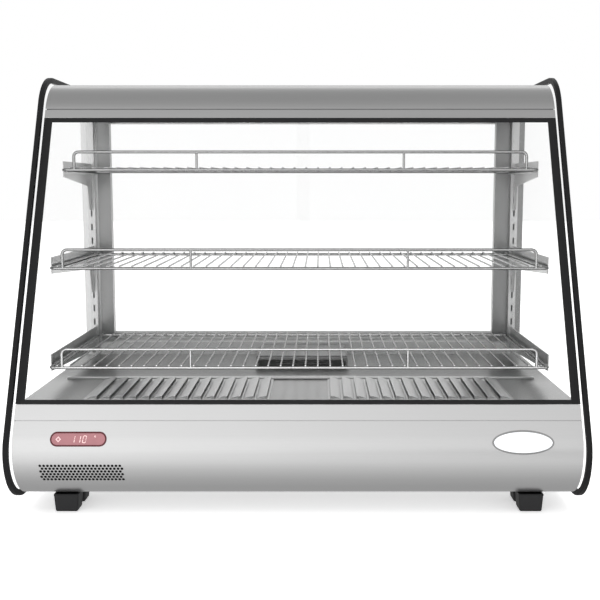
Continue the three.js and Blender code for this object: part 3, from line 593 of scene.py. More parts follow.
def makeSidePanels():
    line = sideLine(0, trimHigh.z, rearEdge, 0, trimLow.z)
    trim = drawChain("edgeTrimLeft", [(trimLow.x, y, z) for y, z in line], closed=True)
    bpy.ops.mesh.select_mode(type="FACE")
    bpy.ops.mesh.select_all(action="SELECT")
    bpy.ops.mesh.inset(thickness=sidePanel["trimWidth"])
    bpy.ops.mesh.delete(type="FACE")
    bpy.ops.mesh.select_all(action="SELECT")
    bpy.ops.mesh.extrude_region_move(TRANSFORM_OT_translate={"value": (trimHigh.x - trimLow.x, 0, 0)})
    leaveEdit()
    cleanUp(trim)
    addBevel(trim, sidePanel["trimRound"], 3, 50)

    low, high = boxOf("side_glass_left")
    seat = sideLine(0, trimHigh.z, rearEdge, sidePanel["glassSeat"], trimLow.z)
    glass = plate("sideGlassLeft", [(low.x, y, z) for y, z in seat], (high.x - low.x, 0, 0))

    trims = {"left": trim, "right": mirrorOf(trim, "edgeTrimRight")}
    panes = {"left": glass, "right": mirrorOf(glass, "sideGlassRight")}
    for side, dark in trims.items():
        dark.visible_glossy = False  # or the ends of the steel panels go black beside it
        placed(dark, "case", edgeRubber, "edge_trim_" + side)
    for side, pane in panes.items():
        placed(pane, "case", sideGlassSkin, "side_glass_" + side)


makeSidePanels()
print("side panels made")

# belly panel of the lower body, with its field of vent holes
bellySheet = {"gauge": 1.5 * mm, "rows": 6, "columns": 22, "hole": 4.4 * mm, "holeSides": 12,
              "pitch": 5.72 * mm, "rowPitch": 4.8 * mm, "topRow": 90.5 * mm, "stagger": 0.25,
              "sideShift": 2.9 * mm, "margin": 6 * mm, "cutDepth": 16 * mm, "baffleGap": 2.4 * mm,
              "baffleRise": 8 * mm, "baffleSteps": 8}


def bellyY(z):
    lower = profile["bellyHeight"] - panelLow.z
    down = profile["bellyHeight"] - z
    return panelLow.y + lower - math.sqrt(lower * lower - down * down)


def ventPlaces():
    windowLow, windowHigh = boxOf("display_window")
    centre = (windowLow.x + windowHigh.x) / 2 + bellySheet["sideShift"]
    first = (1 - bellySheet["columns"]) / 2
    places = []
    for row in range(bellySheet["rows"]):
        shift = bellySheet["stagger"] if row % 2 else -bellySheet["stagger"]
        for column in range(bellySheet["columns"]):
            x = centre + (column + first + shift) * bellySheet["pitch"]
            places.append((x, bellySheet["topRow"] - row * bellySheet["rowPitch"]))
    return places


def ends(values):
    values = list(values)
    return min(values), max(values)


def makeVentShadeLiner(places):
    # painted shade: a black liner close behind the holes stands in for the shade inside them, and keeps
    # the works from showing
    bottom, top = ends(z for x, z in places)
    low, high = bottom - bellySheet["baffleRise"], top + bellySheet["baffleRise"]
    steps = bellySheet["baffleSteps"]
    levels = [low + (high - low) * i / steps for i in range(steps + 1)]
    left, right = ends(x for x, z in places)
    half = (right - left) / 2 + bellySheet["margin"]
    centre = (right + left) / 2
    liner = sheetAcross("ventShadeLiner", [(bellyY(z) + bellySheet["baffleGap"], z) for z in levels], half,
                        bellySheet["gauge"], (0, -1, 0))
    liner.data.transform(Matrix.Translation((centre, 0, 0)))
    placed(liner, "case", blackInk)


def makeBellyPanel():
    slant, few = profile["slant"], profile["smallSteps"]
    lower = profile["bellyHeight"] - panelLow.z
    upper = profile["bellyUpper"]
    line = arcPoints((panelLow.y + lower, profile["bellyHeight"]), lower, 270, 180, profile["arcSteps"])
    line += arcPoints((panelLow.y + upper, profile["bellyHeight"]), upper, 180, 180 - slant, few)[1:]
    line.append((slantY(panelHigh.z, setback), panelHigh.z))
    panel = sheetAcross("bellyPanel", line, bodyHalf, bellySheet["gauge"], (0, -1, 0))

    places = ventPlaces()
    left, right = ends(x for x, z in places)
    openAll(panel)
    for x in (left - bellySheet["margin"], right + bellySheet["margin"]):
        bpy.ops.mesh.select_all(action="SELECT")
        bpy.ops.mesh.bisect(plane_co=(x, 0, 0), plane_no=(1, 0, 0))
    leaveEdit()
    first = disc("ventCutter", (0, 0, 0), bellySheet["hole"] / 2, bellySheet["cutDepth"], (0, 1, 0),
                 bellySheet["holeSides"])
    cutters = repeated(first, "ventCutter", [(x, bellyY(z), z) for x, z in places])
    cutWith(panel, joinAll("ventCutters", cutters))
    makeVentShadeLiner(places)
    return placed(panel, "case", brushedFront, "front_panel")


bellyPanel = makeBellyPanel()


strips = {"gauge": 1.5 * mm, "ease": 0.45 * mm, "linerDepth": 1.6 * mm, "linerReach": 6 * mm,
          "linerEnd": 2 * mm}


def slantStrip(name, node, material):
    # a flat strip that lies on the slant
    low, high = boxOf(node)
    turn = math.radians(profile["slant"])
    gauge = strips["gauge"]
    bottom = low.z + gauge * math.sin(turn)
    inward = Vector((0, gauge * math.cos(turn), -gauge * math.sin(turn)))
    foot = Vector((-bodyHalf, slantY(bottom, setback), bottom))
    head = Vector((-bodyHalf, slantY(high.z, setback), high.z))
    outline = [foot, foot + inward, head + inward, head]
    obj = plate(name, outline, (2 * bodyHalf, 0, 0), strips["ease"], 3)
    placed(obj, "case", material, node)


def seamLiner(name, z, skin):
    # a strip close behind a seam, so that no light comes through it
    reach, back = strips["linerReach"], strips["linerDepth"]
    line = [(slantY(height, setback + back), height) for height in (z - reach, z + reach)]
    liner = sheetAcross(name, line, bodyHalf - strips["linerEnd"], strips["gauge"], (0, -1, 0))
    placed(liner, "case", skin)


slantStrip("glassSill", "front_top_strip", brushedFront)
slantStrip("canopyLip", "canopy_strip", shadedCanopySteel)
seamLiner("bellySeamLiner", panelHigh.z, brightPlate)
seamLiner("canopySeamLiner", bodyLow.z, capPaint)
print("belly panel and strips made")

# canopy: one bent sheet over the top
canopy = {"gauge": 1.5 * mm}


def makeCanopy():
    slant = profile["slant"]
    z0 = bodyLow.z
    shoulderZ = bodyHigh.z - profile["shoulder"]
    shoulderY = slantY(shoulderZ, setback) + profile["shoulder"] / math.cos(math.radians(slant))
    corner = profile["rearCorner"]
    startAngle = 180 - math.degrees(math.asin((z0 - shoulderZ) / profile["shoulder"]))
    line = arcPoints((shoulderY, shoulderZ), profile["shoulder"], startAngle, 90, profile["arcSteps"])
    line += arcPoints((bodyHigh.y - corner, bodyHigh.z - corner), corner, 90, 0, profile["smallSteps"])
    line.append((bodyHigh.y, z0))
    shell = sheetAcross("canopySheet", line, bodyHalf, canopy["gauge"], (0, 0, 1))
    placed(shell, "case", shadedCanopySteel, "canopy_shell")


makeCanopy()
for side in ("left", "right"):
    node = "canopy_end_" + side
    placed(refined(node, "capEnd_" + side.title()), "case", capPaint, node)
placed(refined("ceiling_panel", "ceilingSheet"), "case", brushedFront, "ceiling_panel")
print("canopy made")

# front glass with a black border printed on its outer face
frontPane = {"thick": 5 * mm, "polish": 0.8 * mm, "sideBorder": 14 * mm, "topBorder": 8.5 * mm,
             "bottomBorder": 7 * mm, "ink": 0.12 * mm, "inkLift": 0.05 * mm}


def onSlant(x, distance, depth, base):
    # a point that far up the slant from base and that deep behind its face
    turn = math.radians(profile["slant"])
    y = slantY(base, setback) + distance * math.sin(turn) + depth * math.cos(turn)
    return Vector((x, y, base + distance * math.cos(turn) - depth * math.sin(turn)))


def closeLoop(obj):
    # joins the two ends of a drawn chain
    shape = bmesh.from_edit_mesh(obj.data)
    ends = [v for v in shape.verts if len(v.link_edges) == 1]
    bpy.ops.mesh.select_all(action="DESELECT")
    for v in ends:
        v.select = True
    bmesh.update_edit_mesh(obj.data)
    bpy.ops.mesh.edge_face_add()
    leaveEdit()


def bridged(name, loops):
    # the flat ring between two drawn loops
    ring = joinAll(name, loops)
    openAll(ring, "EDGE")
    bpy.ops.mesh.bridge_edge_loops()
    leaveEdit()
    return ring


def makeFrontGlass():
    thick = frontPane["thick"]
    turn = math.radians(profile["slant"])
    base = glassLow.z + thick * math.sin(turn)
    length = (glassHigh.z - base) / math.cos(turn)
    corners = [onSlant(-bodyHalf, 0, 0, base), onSlant(-bodyHalf, 0, thick, base),
               onSlant(-bodyHalf, length, thick, base), onSlant(-bodyHalf, length, 0, base)]
    pane = plate("frontPane", corners, (2 * bodyHalf, 0, 0), frontPane["polish"], 3)
    placed(pane, "case", paneGlass, "front_glass")

    lift = -frontPane["inkLift"]
    side = bodyHalf - frontPane["sideBorder"]
    low, high = frontPane["bottomBorder"], length - frontPane["topBorder"]
    loops = []
    for name, x, bottom, top in (("borderOuter", bodyHalf, 0, length), ("borderInner", side, low, high)):
        loop = drawChain(name, [onSlant(across, up, lift, base) for across, up in
                                ((-x, bottom), (x, bottom), (x, top), (-x, top))])
        closeLoop(loop)
        loops.append(loop)
    border = bridged("glassBorder", loops)
    faceTowards(border, (0, -1, 0))
    addWall(border, frontPane["ink"])
    placed(border, "case", blackInk, smoothAngle=0)


makeFrontGlass()
print("front glass made")

# wire shelves: a bent frame wire, cross wires laid over it and a guard rail in front
wireShelf = {"frame": 5 * mm, "frameSides": 14, "cross": 3 * mm, "crossSides": 10, "crossEnd": 0.5 * mm,
             "pitch": 20 * mm, "bite": 0.5 * mm, "corner": 7 * mm, "guardRise": 30 * mm,
             "guardInset": 22 * mm, "guardCorner": 8 * mm, "postWire": 4 * mm, "postSides": 12,
             "postSpread": 350 * mm, "frontOverhang": 1.2 * mm, "rearOverhang": 1.4 * mm}


def makeShelf(level):
    low, high = boxOf("wire_shelf_" + level)
    half = wireShelf["frame"] / 2
    z = low.z + half
    hx, y0, y1 = high.x - half, low.y + half, high.y - half
    r = wireShelf["corner"]
    frameRun = [
        ("run", (hx - r, 0, 0)), ("bend", (hx - r, y0 + r, z), (0, 0, 1), 90),
        ("run", (0, y1 - y0 - 2 * r, 0)), ("bend", (hx - r, y1 - r, z), (0, 0, 1), 90),
        ("run", (-2 * (hx - r), 0, 0)), ("bend", (-hx + r, y1 - r, z), (0, 0, 1), 90),
        ("run", (0, -(y1 - y0 - 2 * r), 0)), ("bend", (-hx + r, y0 + r, z), (0, 0, 1), 90),
        ("run", (hx - r, 0, 0)),
    ]
    sides = wireShelf["frameSides"]
    ring = bentWire("frameWire", (0, y0, z), frameRun, wireShelf["frame"], sides, closed=True)

    g, top = wireShelf["guardCorner"], z + wireShelf["guardRise"]
    hg = hx + half - wireShelf["guardInset"]
    guardRun = [
        ("run", (0, 0, top - g - z)), ("bend", (-hg + g, y0, top - g), (0, 1, 0), 90),
        ("run", (2 * (hg - g), 0, 0)), ("bend", (hg - g, y0, top - g), (0, 1, 0), 90),
        ("run", (0, 0, -(top - g - z))),
    ]
    guard = bentWire("guardWire", (-hg, y0, z), guardRun, wireShelf["frame"], sides)
    posts = [disc("guardPost", (x, y0, (z + top) / 2), wireShelf["postWire"] / 2, top - z, (0, 0, 1),
                  wireShelf["postSides"])
             for x in (-wireShelf["postSpread"] / 2, wireShelf["postSpread"] / 2)]

    crossRadius = wireShelf["cross"] / 2
    y0c, y1c = y0 - wireShelf["frontOverhang"], y1 + wireShelf["rearOverhang"]
    crossZ = z + half + crossRadius - wireShelf["bite"]
    inside = high.x - wireShelf["frame"]
    count = int((2 * inside - wireShelf["cross"]) / wireShelf["pitch"])
    first = disc("crossWire", (0, (y0c + y1c) / 2, crossZ), crossRadius, y1c - y0c, (0, 1, 0),
                 wireShelf["crossSides"], wireShelf["crossEnd"], 2)
    crosses = repeated(first, "crossWire", [((i - count / 2) * wireShelf["pitch"], 0, 0)
                                            for i in range(count + 1)])
    shelf = joinAll("shelf" + level.title(), [ring, guard, *posts, *crosses])
    # painted light: the bottom shelf takes the brighter copy of the wire
    skin = litLowShelfWire if level == "bottom" else chromeWire
    placed(shelf, "shelf_" + level, skin, "wire_shelf_" + level, 40)


for level in ("bottom", "middle", "top"):
    makeShelf(level)
print("wire shelves made")

# brackets: pressed plates with small lightening holes by the root
bracketPlate = {"ease": 0.35 * mm, "nose": 3 * mm, "noseBack": 9 * mm, "hole": 4 * mm, "holeSides": 16,
                "holeDrop": 37 * mm, "rearInset": 14 * mm, "spacing": 24 * mm, "cutDepth": 40 * mm}
rearPost = {"ease": 0.4 * mm}


def makeBracket(level, side):
    node = f"bracket_{level}_{side}"
    low, high = boxOf(node)
    obj = refined(node, "bracket" + level.title() + side.title(), bracketPlate["ease"])
    pick(obj, lambda v: v.co.y < low.y + bracketPlate["nose"])
    bpy.ops.transform.translate(value=(0, bracketPlate["noseBack"], 0))
    leaveEdit()
    x, z = (low.x + high.x) / 2, high.z - bracketPlate["holeDrop"]
    rear = high.y - bracketPlate["rearInset"]
    for y in (rear, rear - bracketPlate["spacing"]):
        cutWith(obj, disc("holeCutter", (x, y, z), bracketPlate["hole"] / 2, bracketPlate["cutDepth"],
                          (1, 0, 0), bracketPlate["holeSides"]))
    placed(obj, "case", hangerPlate, node)


for level in ("bottom", "middle", "top"):
    for side in ("left", "right"):
        makeBracket(level, side)
for side in ("left", "right"):
    standard = refined("shelf_standard_" + side, "slottedPost" + side.title())
    placed(standard, "case", brushedStandard, "shelf_standard_" + side)
    post = refined("rear_post_" + side, "rearPost" + side.title(), rearPost["ease"])
    placed(post, "case", brushedPostWithHighlight, "rear_post_" + side)
print("brackets and posts made")

# louvred plates: pressed fins, open towards the middle, over slots
louvrePlate = {"gauge": 1.2 * mm, "rim": 4 * mm, "pitch": 20.4 * mm, "rise": 5 * mm, "mouth": 15 * mm,
               "tail": 2.2 * mm, "end": 9 * mm, "finGauge": 0.9 * mm, "curve": 1.35, "steps": 5,
               "bite": 0.2 * mm, "cutOver": 2 * mm, "tab": 6 * mm, "tabGauge": 1.6 * mm,
               "tabRise": 0.96, "tabLean": 0.55, "tabRound": 0.4 * mm}


def makeLouvres():
    low, high = boxOf("louvre_plate_right")
    top = low.z + louvrePlate["gauge"]
    start = low.x + louvrePlate["rim"]
    count = round((high.x - start) / louvrePlate["pitch"])
    y0, y1 = low.y + louvrePlate["end"] / 2, high.y - louvrePlate["end"] / 2
    width = louvrePlate["mouth"] + louvrePlate["tail"]

    sheet = block("louvreSheet", low, (high.x, high.y, top), pressed["ease"])
    over, end = louvrePlate["cutOver"], louvrePlate["end"]
    slot = block("slotCutter", (start, low.y + end, low.z - over),
                 (start + louvrePlate["mouth"], high.y - end, top + over))
    places = [(i * louvrePlate["pitch"], 0, 0) for i in range(count)]
    slots = repeated(slot, "slotCutter", places)
    cutWith(sheet, joinAll("slotCutters", slots))

    steps, rise = louvrePlate["steps"], louvrePlate["rise"]
    roof = [(start + width * i / steps, top + rise * (1 - (i / steps) ** louvrePlate["curve"]))
            for i in range(steps + 1)]
    foot = top - louvrePlate["bite"]
    outline = [(start, y0, foot)] + [(x, y0, z) for x, z in roof]
    outline[-1] = (start + width, y0, foot)
    fin = plate("fin", outline, (0, y1 - y0, 0))
    pick(fin, lambda f: f.normal.x < -0.9 or f.normal.z < -0.9, "FACE")
    bpy.ops.mesh.delete(type="FACE")
    leaveEdit()
    addWall(fin, louvrePlate["finGauge"])
    # a small turned-up tab closes the front of each mouth
    reach = louvrePlate["tab"]
    tab = block("mouthTab", (start, y0 - louvrePlate["tabGauge"], foot),
                (start + reach, y0, top + rise * louvrePlate["tabRise"]), louvrePlate["tabRound"], 3)
    pick(tab, lambda v: v.co.z > top + rise / 2 and v.co.x > start + reach / 2)
    bpy.ops.transform.translate(value=(-reach * louvrePlate["tabLean"], 0, 0))
    leaveEdit()
    fins = repeated(joinAll("fin", [fin, tab]), "fin", places)
    right = joinAll("louvreRight", [sheet, *fins])
    left = mirrorOf(right, "louvreLeft")
    placed(right, "louvre_right", louvreSteel, "louvre_plate_right")
    placed(left, "louvre_left", louvreSteel, "louvre_plate_left")


makeLouvres()

# deck: a flat sheet, a low lip behind the louvres and a rounded hood over the fan
deck = {"lipBack": 8 * mm, "lipDepth": 10 * mm, "lipRise": 3 * mm, "lipHalf": 404 * mm,
        "lipRound": 1.6 * mm, "midHalf": 96 * mm, "midFront": 3 * mm, "midRise": 4 * mm,
        "midRound": 2.4 * mm, "hoodRound": 5 * mm, "mouth": 12 * mm, "wall": 4 * mm, "cutOver": 10 * mm}


def makeDeck():
    placed(refined("deck_pan", "deckSheet"), "case", shadedSatinDeck, "deck_pan")
    deckTop = boxOf("deck_pan")[1].z
    y0 = boxOf("louvre_plate_left")[1].y + deck["lipBack"]
    y1 = y0 + deck["lipDepth"]
    half, rise = deck["lipHalf"], deck["lipRise"]
    long = block("deckLip", (-half, y0, deckTop), (half, y1, deckTop + rise), deck["lipRound"], 4)
    half, rise = deck["midHalf"], deck["midRise"]
    short = block("lipMiddle", (-half, y0 - deck["midFront"], deckTop), (half, y1, deckTop + rise),
                  deck["midRound"], 4)
    placed(joinAll("deckLip", [long, short]), "case", louvreSteel)

    low, high = boxOf("fan_hood")
    hood = block("fanCowl", low, high)
    roundEdges(hood, lambda e: abs(middle(e).z - high.z) < 1e-6, deck["hoodRound"])
    wall, over, mouthTop = deck["wall"], deck["cutOver"], low.z + deck["mouth"]
    mouth = block("mouthCutter", (low.x + wall, low.y - over, low.z - over),
                  (high.x - wall, high.y - wall, mouthTop))
    roundEdges(mouth, lambda e: abs(middle(e).z - mouthTop) < 1e-6, deck["hoodRound"])
    cutWith(hood, mouth)
    placed(hood, "case", shadedSatinDeck, "fan_hood")


makeDeck()
print("deck, louvres and hood made")

# base, rear wall and its details
rearWall = {"screwHead": 7 * mm, "screwRise": 1.8 * mm, "screwRound": 0.7 * mm, "screwSides": 20,
            "slot": 0.9 * mm, "slotReach": 0.32, "slotDepth": 0.9 * mm, "sink": 0.1 * mm, "edge": 12 * mm,
            "plateInset": 5 * mm, "ventCount": 9, "ventWidth": 66 * mm, "ventPitch": 9 * mm,
            "ventRise": 3 * mm, "ventGauge": 0.8 * mm, "ventBite": 0.2 * mm, "ventLow": 40 * mm,
            "ventColumns": (-1.1, 0.15)}


def screwHead(name, where):
    rise = rearWall["screwRise"]
    head = disc(name, where, rearWall["screwHead"] / 2, rise, (0, 1, 0), rearWall["screwSides"],
                rearWall["screwRound"], 3)
    reach, half = rearWall["screwHead"] * rearWall["slotReach"], rearWall["slot"] / 2
    x, y, z = where
    face = y + rise / 2
    for dx, dz in ((reach, half), (half, reach)):
        cutWith(head, block("crossCutter", (x - dx, face - rearWall["slotDepth"], z - dz),
                            (x + dx, face + 1 * mm, z + dz)))
    return head


def makeRear():
    for node, name in (("rear_panel", "rearWall"), ("base_plate", "floorPlate")):
        placed(refined(node, name, pressed["panelEase"]), "case", brushedFront, node)
    for side in ("left", "right"):
        node = "base_side_" + side
        placed(refined(node, "baseSide" + side.title()), "case", brushedSide, node)
    low, high = boxOf("rear_panel")
    rearFace = high.y
    first = screwHead("wallScrew", (0, rearFace + rearWall["screwRise"] / 2 - rearWall["sink"], 0))
    edge = rearWall["edge"]
    xs = [low.x + edge, low.x / 3, high.x / 3, high.x - edge]
    places = [(x, 0, z) for x in xs for z in (low.z + edge, high.z - edge)]
    plateLow, plateHigh = boxOf("control_plate")
    lift, inset = plateHigh.y - rearFace, rearWall["plateInset"]
    places += [(x, lift, z) for x in (plateLow.x + inset, plateHigh.x - inset)
               for z in (plateLow.z + inset, plateHigh.z - inset)]
    canopyZ = (bodyLow.z + bodyHigh.z) / 2
    places += [(x, bodyHigh.y - rearFace, canopyZ) for x in xs]
    screws = joinAll("wallScrews", repeated(first, "wallScrew", places))
    placed(screws, "case", chromeWire)

    width, rise, foot = rearWall["ventWidth"], rearWall["ventRise"], rearFace - rearWall["ventBite"]
    outline = [(-width / 2, y, z) for y, z in ((foot, 0), (rearFace + rise, 0), (foot, 2 * rise))]
    hood = plate("wallVent", outline, (width, 0, 0))
    pick(hood, lambda f: f.normal.z < -0.9 or f.normal.y < -0.9, "FACE")
    bpy.ops.mesh.delete(type="FACE")
    leaveEdit()
    addWall(hood, rearWall["ventGauge"])
    places = [(column * width, 0, low.z + rearWall["ventLow"] + row * rearWall["ventPitch"])
              for column in rearWall["ventColumns"] for row in range(rearWall["ventCount"])]
    placed(joinAll("wallVents", repeated(hood, "wallVent", places)), "case", brushedFront)


makeRear()
print("rear wall and base made")

# sliding glass doors, pulls and tracks
doors = {"polish": 0.7 * mm, "pullRound": 0.8 * mm, "pullInset": 3 * mm, "pullRecess": 3.2 * mm}


def makeDoors():
    for side in ("left", "right"):
        node = "rear_door_" + side
        low, high = boxOf(node)
        pane = block("doorPane" + side.title(), low, high, doors["polish"], 3)
        placed(pane, side + "_door", paneGlass, node)
        low, high = boxOf("door_pull_" + side)
        pull = block("doorPull" + side.title(), low, high)
        hollowed(pull, lambda f: f.normal.y > 0.9, doors["pullInset"], (0, -doors["pullRecess"], 0))
        addBevel(pull, doors["pullRound"], 3)
        placed(pull, side + "_door", blackPlastic, "door_pull_" + side)
    for end in ("bottom", "top"):
        node = "door_track_" + end
        placed(refined(node, "doorTrack" + end.title()), "case", trackMetal, node)


makeDoors()

# lamp under the ceiling
lamp = {"round": 1 * mm, "rim": 3 * mm, "channel": 2 * mm, "lensRound": 2.6 * mm}


def makeLamp():
    low, high = boxOf("lamp_housing")
    housing = block("lampHousing", low, high)
    hollowed(housing, lambda f: f.normal.z < -0.9, lamp["rim"], (0, 0, lamp["channel"]))
    addBevel(housing, lamp["round"], 3)
    placed(housing, "case", lampPaint, "lamp_housing")
    low, high = boxOf("lamp_lens")
    lens = block("lampLens", low, high)
    roundEdges(lens, lambda e: abs(middle(e).z - low.z) < 1e-6 and abs(middle(e).x) < 1e-4,
               lamp["lensRound"])
    placed(lens, "case", lampLens, "lamp_lens")


makeLamp()
print("doors and lamp made")


def sliceUp(obj, z0, z1, step):
    # level cuts, so that a flat outline can follow the belly
    openAll(obj)
    for i in range(1, math.ceil((z1 - z0) / step)):
        bpy.ops.mesh.select_all(action="SELECT")
        bpy.ops.mesh.bisect(plane_co=(0, 0, z0 + i * step), plane_no=(0, 0, 1))
    leaveEdit()


def onBelly(obj, lift, thick, ease=0.0):
    # lays a flat outline on the belly panel and gives it its thickness
    applied(obj, "SHRINKWRAP", target=bellyPanel, wrap_method="PROJECT", use_project_x=False,
            use_project_z=False, use_project_y=True, use_negative_direction=False,
            use_positive_direction=True, offset=lift)
    faceTowards(obj, (0, -1, 0))
    addWall(obj, thick, 1)
    if ease:
        addBevel(obj, ease, 3, 50)


outlineGap = 8 * mm


def flatOutline(name, points, inner=None):
    # an outline standing in front of the belly, filled, or bridged to an inner one
    y = panelLow.y - outlineGap
    obj = drawChain(name, [(x, y, z) for x, z in points], closed=inner is None)
    if inner is None:
        leaveEdit()
        return obj
    closeLoop(obj)
    hole = drawChain(name + "Inner", [(x, y, z) for x, z in inner])
    closeLoop(hole)
    return bridged(name, [obj, hole])


def stadium(centre, width, height, steps=12):
    x, z = centre
    r = height / 2
    run = width / 2 - r
    return arcPoints((x + run, z), r, -90, 90, steps) + arcPoints((x - run, z), r, 90, 270, steps)


def oval(centre, width, height, steps=48):
    turns = [2 * math.pi * i / steps for i in range(steps)]
    return [(centre[0] + width / 2 * math.cos(t), centre[1] + height / 2 * math.sin(t)) for t in turns]


def framedPlate(name, node, shape, sizes, skins):
    # a rim and the face inside it, both laid on the belly
    low, high = boxOf(node)
    centre = ((low.x + high.x) / 2, (low.z + high.z) / 2)
    width, height = high.x - low.x, high.z - low.z
    outer = shape(centre, width, height)
    inner = shape(centre, width - 2 * sizes["rim"], height - 2 * sizes["rim"])
    rim = flatOutline(name + "Rim", outer, inner)
    sliceUp(rim, low.z, high.z, sizes["slice"])
    onBelly(rim, sizes["lift"], sizes["rimThick"], sizes["rimEase"])
    placed(rim, "case", skins[0], node)
    face = flatOutline(name + "Face", inner)
    sliceUp(face, low.z, high.z, sizes["slice"])
    onBelly(face, sizes["lift"], sizes["faceThick"])
    placed(face, "case", skins[1])
    return centre


# temperature window: dark red rim, lit face, thin leaning digits
display = {"rim": 2.3 * mm, "lift": 0.05 * mm, "slice": 2 * mm, "faceThick": 0.35 * mm,
           "rimThick": 0.75 * mm, "rimEase": 0.25 * mm, "markLift": 0.45 * mm, "markThick": 0.1 * mm,
           "digitHeight": 9.5 * mm, "digitWidth": 4.6 * mm, "stroke": 0.5 * mm, "lean": 0.16,
           "spacing": 8.6 * mm, "reading": "110", "iconSize": 4.2 * mm, "iconOffset": -30 * mm,
           "iconHole": 0.5, "degreeSize": 2.4 * mm, "degreeOffset": 25 * mm, "degreeHole": 0.55,
           "degreeRise": 0.42}

strokes = {"a": ((0, 1), (1, 1)), "b": ((1, 1), (1, 0.5)), "c": ((1, 0.5), (1, 0)),
           "d": ((1, 0), (0, 0)), "e": ((0, 0), (0, 0.5)), "f": ((0, 0.5), (0, 1))}
digitStrokes = {"0": "abcdef", "1": "bc"}


def strokeOutline(start, end, half):
    # a six-sided bar with pointed ends
    along = (end - start).normalized()
    across = Vector((-along.y, along.x))
    a, b = start + along * half * 0.4, end - along * half * 0.4
    points = [a, a + (along + across) * half, b + (across - along) * half, b,
              b - (along + across) * half, a + (along - across) * half]
    return [(p.x, p.y) for p in points]


def makeDisplay():
    centre = framedPlate("window", "display_window", stadium, display, (rimRed, faceRed))
    lift, thick = display["markLift"], display["markThick"]
    tall, wide, digits = display["digitHeight"], display["digitWidth"], display["reading"]
    bars = []
    for place, digit in enumerate(digits):
        x0 = centre[0] + (place - (len(digits) - 1) / 2) * display["spacing"] - wide / 2
        z0 = centre[1] - tall / 2
        for key in digitStrokes[digit]:
            start, end = [Vector((x0 + u * wide + v * tall * display["lean"], z0 + v * tall))
                          for u, v in strokes[key]]
            bars.append(flatOutline("digitStroke", strokeOutline(start, end, display["stroke"])))
    degree = (centre[0] + display["degreeOffset"], centre[1] + tall * display["degreeRise"])
    outer, inner = [oval(degree, size, size, 16) for size in
                    (display["degreeSize"], display["degreeSize"] * display["degreeHole"])]
    bars.append(flatOutline("degreeMark", outer, inner))
    reading = joinAll("windowReading", bars)
    onBelly(reading, lift, thick)
    placed(reading, "case", readingGlow, smoothAngle=0)

    x, z = centre[0] + display["iconOffset"], centre[1]
    outer, inner = [[(x - s, z), (x, z - s), (x + s, z), (x, z + s)] for s in
                    (display["iconSize"], display["iconSize"] * display["iconHole"])]
    icon = flatOutline("heatMark", outer, inner)
    onBelly(icon, lift, thick)
    placed(icon, "case", markPale, smoothAngle=0)


# plain oval plate with a raised edge
badge = {"rim": 2.6 * mm, "lift": 0.05 * mm, "slice": 2.2 * mm, "faceThick": 0.6 * mm,
         "rimThick": 1.1 * mm, "rimEase": 0.35 * mm}

rimRed = dullSkin("rimRed", (0.075, 0.012, 0.016, 1), 0.3, 600.0, 0.00002, 0.08)
faceRed = dullSkin("faceRed", (0.335, 0.15, 0.163, 1), 0.2, 600.0, 0.00002, 0.08)
readingGlow = dullSkin("readingGlow", (0.9, 0.66, 0.64, 1), 0.4, 600.0, 0.00002, 0.03)
markPale = dullSkin("markPale", (0.72, 0.5, 0.5, 1), 0.4, 600.0, 0.00002, 0.03)
badgeSatin = dullSkin("badgeSatin", (0.86, 0.88, 0.9, 1), 0.3, 500.0, 0.00002, 0.02)
makeDisplay()
framedPlate("badge", "badge_plate", oval, badge, (rimSteel, badgeSatin))
finishNode("display_board", boardGreen)
print("window and badge made")

# rear controls: a moulded plate, two rockers and three push buttons
controls = {"plateRound": 0.8 * mm, "rockerRound": 0.8 * mm, "dish": 0.6 * mm, "dishRim": 1.4 * mm,
            "buttonEase": 0.35 * mm}


def makeControls():
    placed(refined("control_plate", "controlPlate", controls["plateRound"], 3), "case", blackPlastic,
           "control_plate")
    for node, name, body, skin, slotName in (
            ("power_rocker", "powerRocker", "power_switch", redPlastic, "red_plastic"),
            ("lamp_rocker", "lampRocker", "lamp_switch", blackPlastic, "black_plastic")):
        placed(refined(node, name, controls["rockerRound"], 3), body, skin, node)
    for key in ("set", "down", "up"):
        low, high = boxOf("button_" + key)
        centre = (low + high) / 2
        radius = (high.x - low.x) / 2
        button = disc("button" + key.title(), centre, radius, high.y - low.y, (0, 1, 0), 32)
        hollowed(button, lambda f: f.normal.y > 0.9, controls["dishRim"], (0, -controls["dish"], 0))
        addBevel(button, controls["buttonEase"], 3, 40)
        placed(button, key + "_button", greyPlastic, "button_" + key)


makeControls()

# cord gland: a hexagon flange and a ribbed dome nut round the bore
gland = {"flange": 2.5 * mm, "flangeRound": 0.5 * mm, "lift": 0.3 * mm, "nut": 11 * mm, "ribs": 16,
         "ribDepth": 0.9 * mm, "ribEase": 0.4 * mm, "bore": 4.5 * mm, "boreSides": 32,
         "cutDepth": 60 * mm}


def makeGland():
    low, high = boxOf("cord_gland")
    centre = (low + high) / 2
    outer = (high.z - low.z) / 2
    wallY = boxOf("rear_panel")[1].y + gland["lift"]
    thick = gland["flange"]
    flange = disc("glandFlange", (centre.x, wallY + thick / 2, centre.z), outer, thick, (0, 1, 0), 6,
                  gland["flangeRound"])
    nut = disc("glandNut", centre, gland["nut"], high.y - low.y, (0, 1, 0), 2 * gland["ribs"])
    pick(nut, lambda v: v.index // 2 % 2 == 0)
    scale = 1 - gland["ribDepth"] / gland["nut"]
    bpy.ops.transform.resize(value=(scale, 1, scale), center_override=centre)
    leaveEdit()
    addBevel(nut, gland["ribEase"], 2, 60)
    for part in (flange, nut):
        cleanUp(part)
        cutWith(part, disc("boreCutter", centre, gland["bore"], gland["cutDepth"], (0, 1, 0),
                           gland["boreSides"]))
    placed(joinAll("cordGland", [flange, nut]), "case", blackPlastic, "cord_gland")


makeGland()
print("controls and gland made")

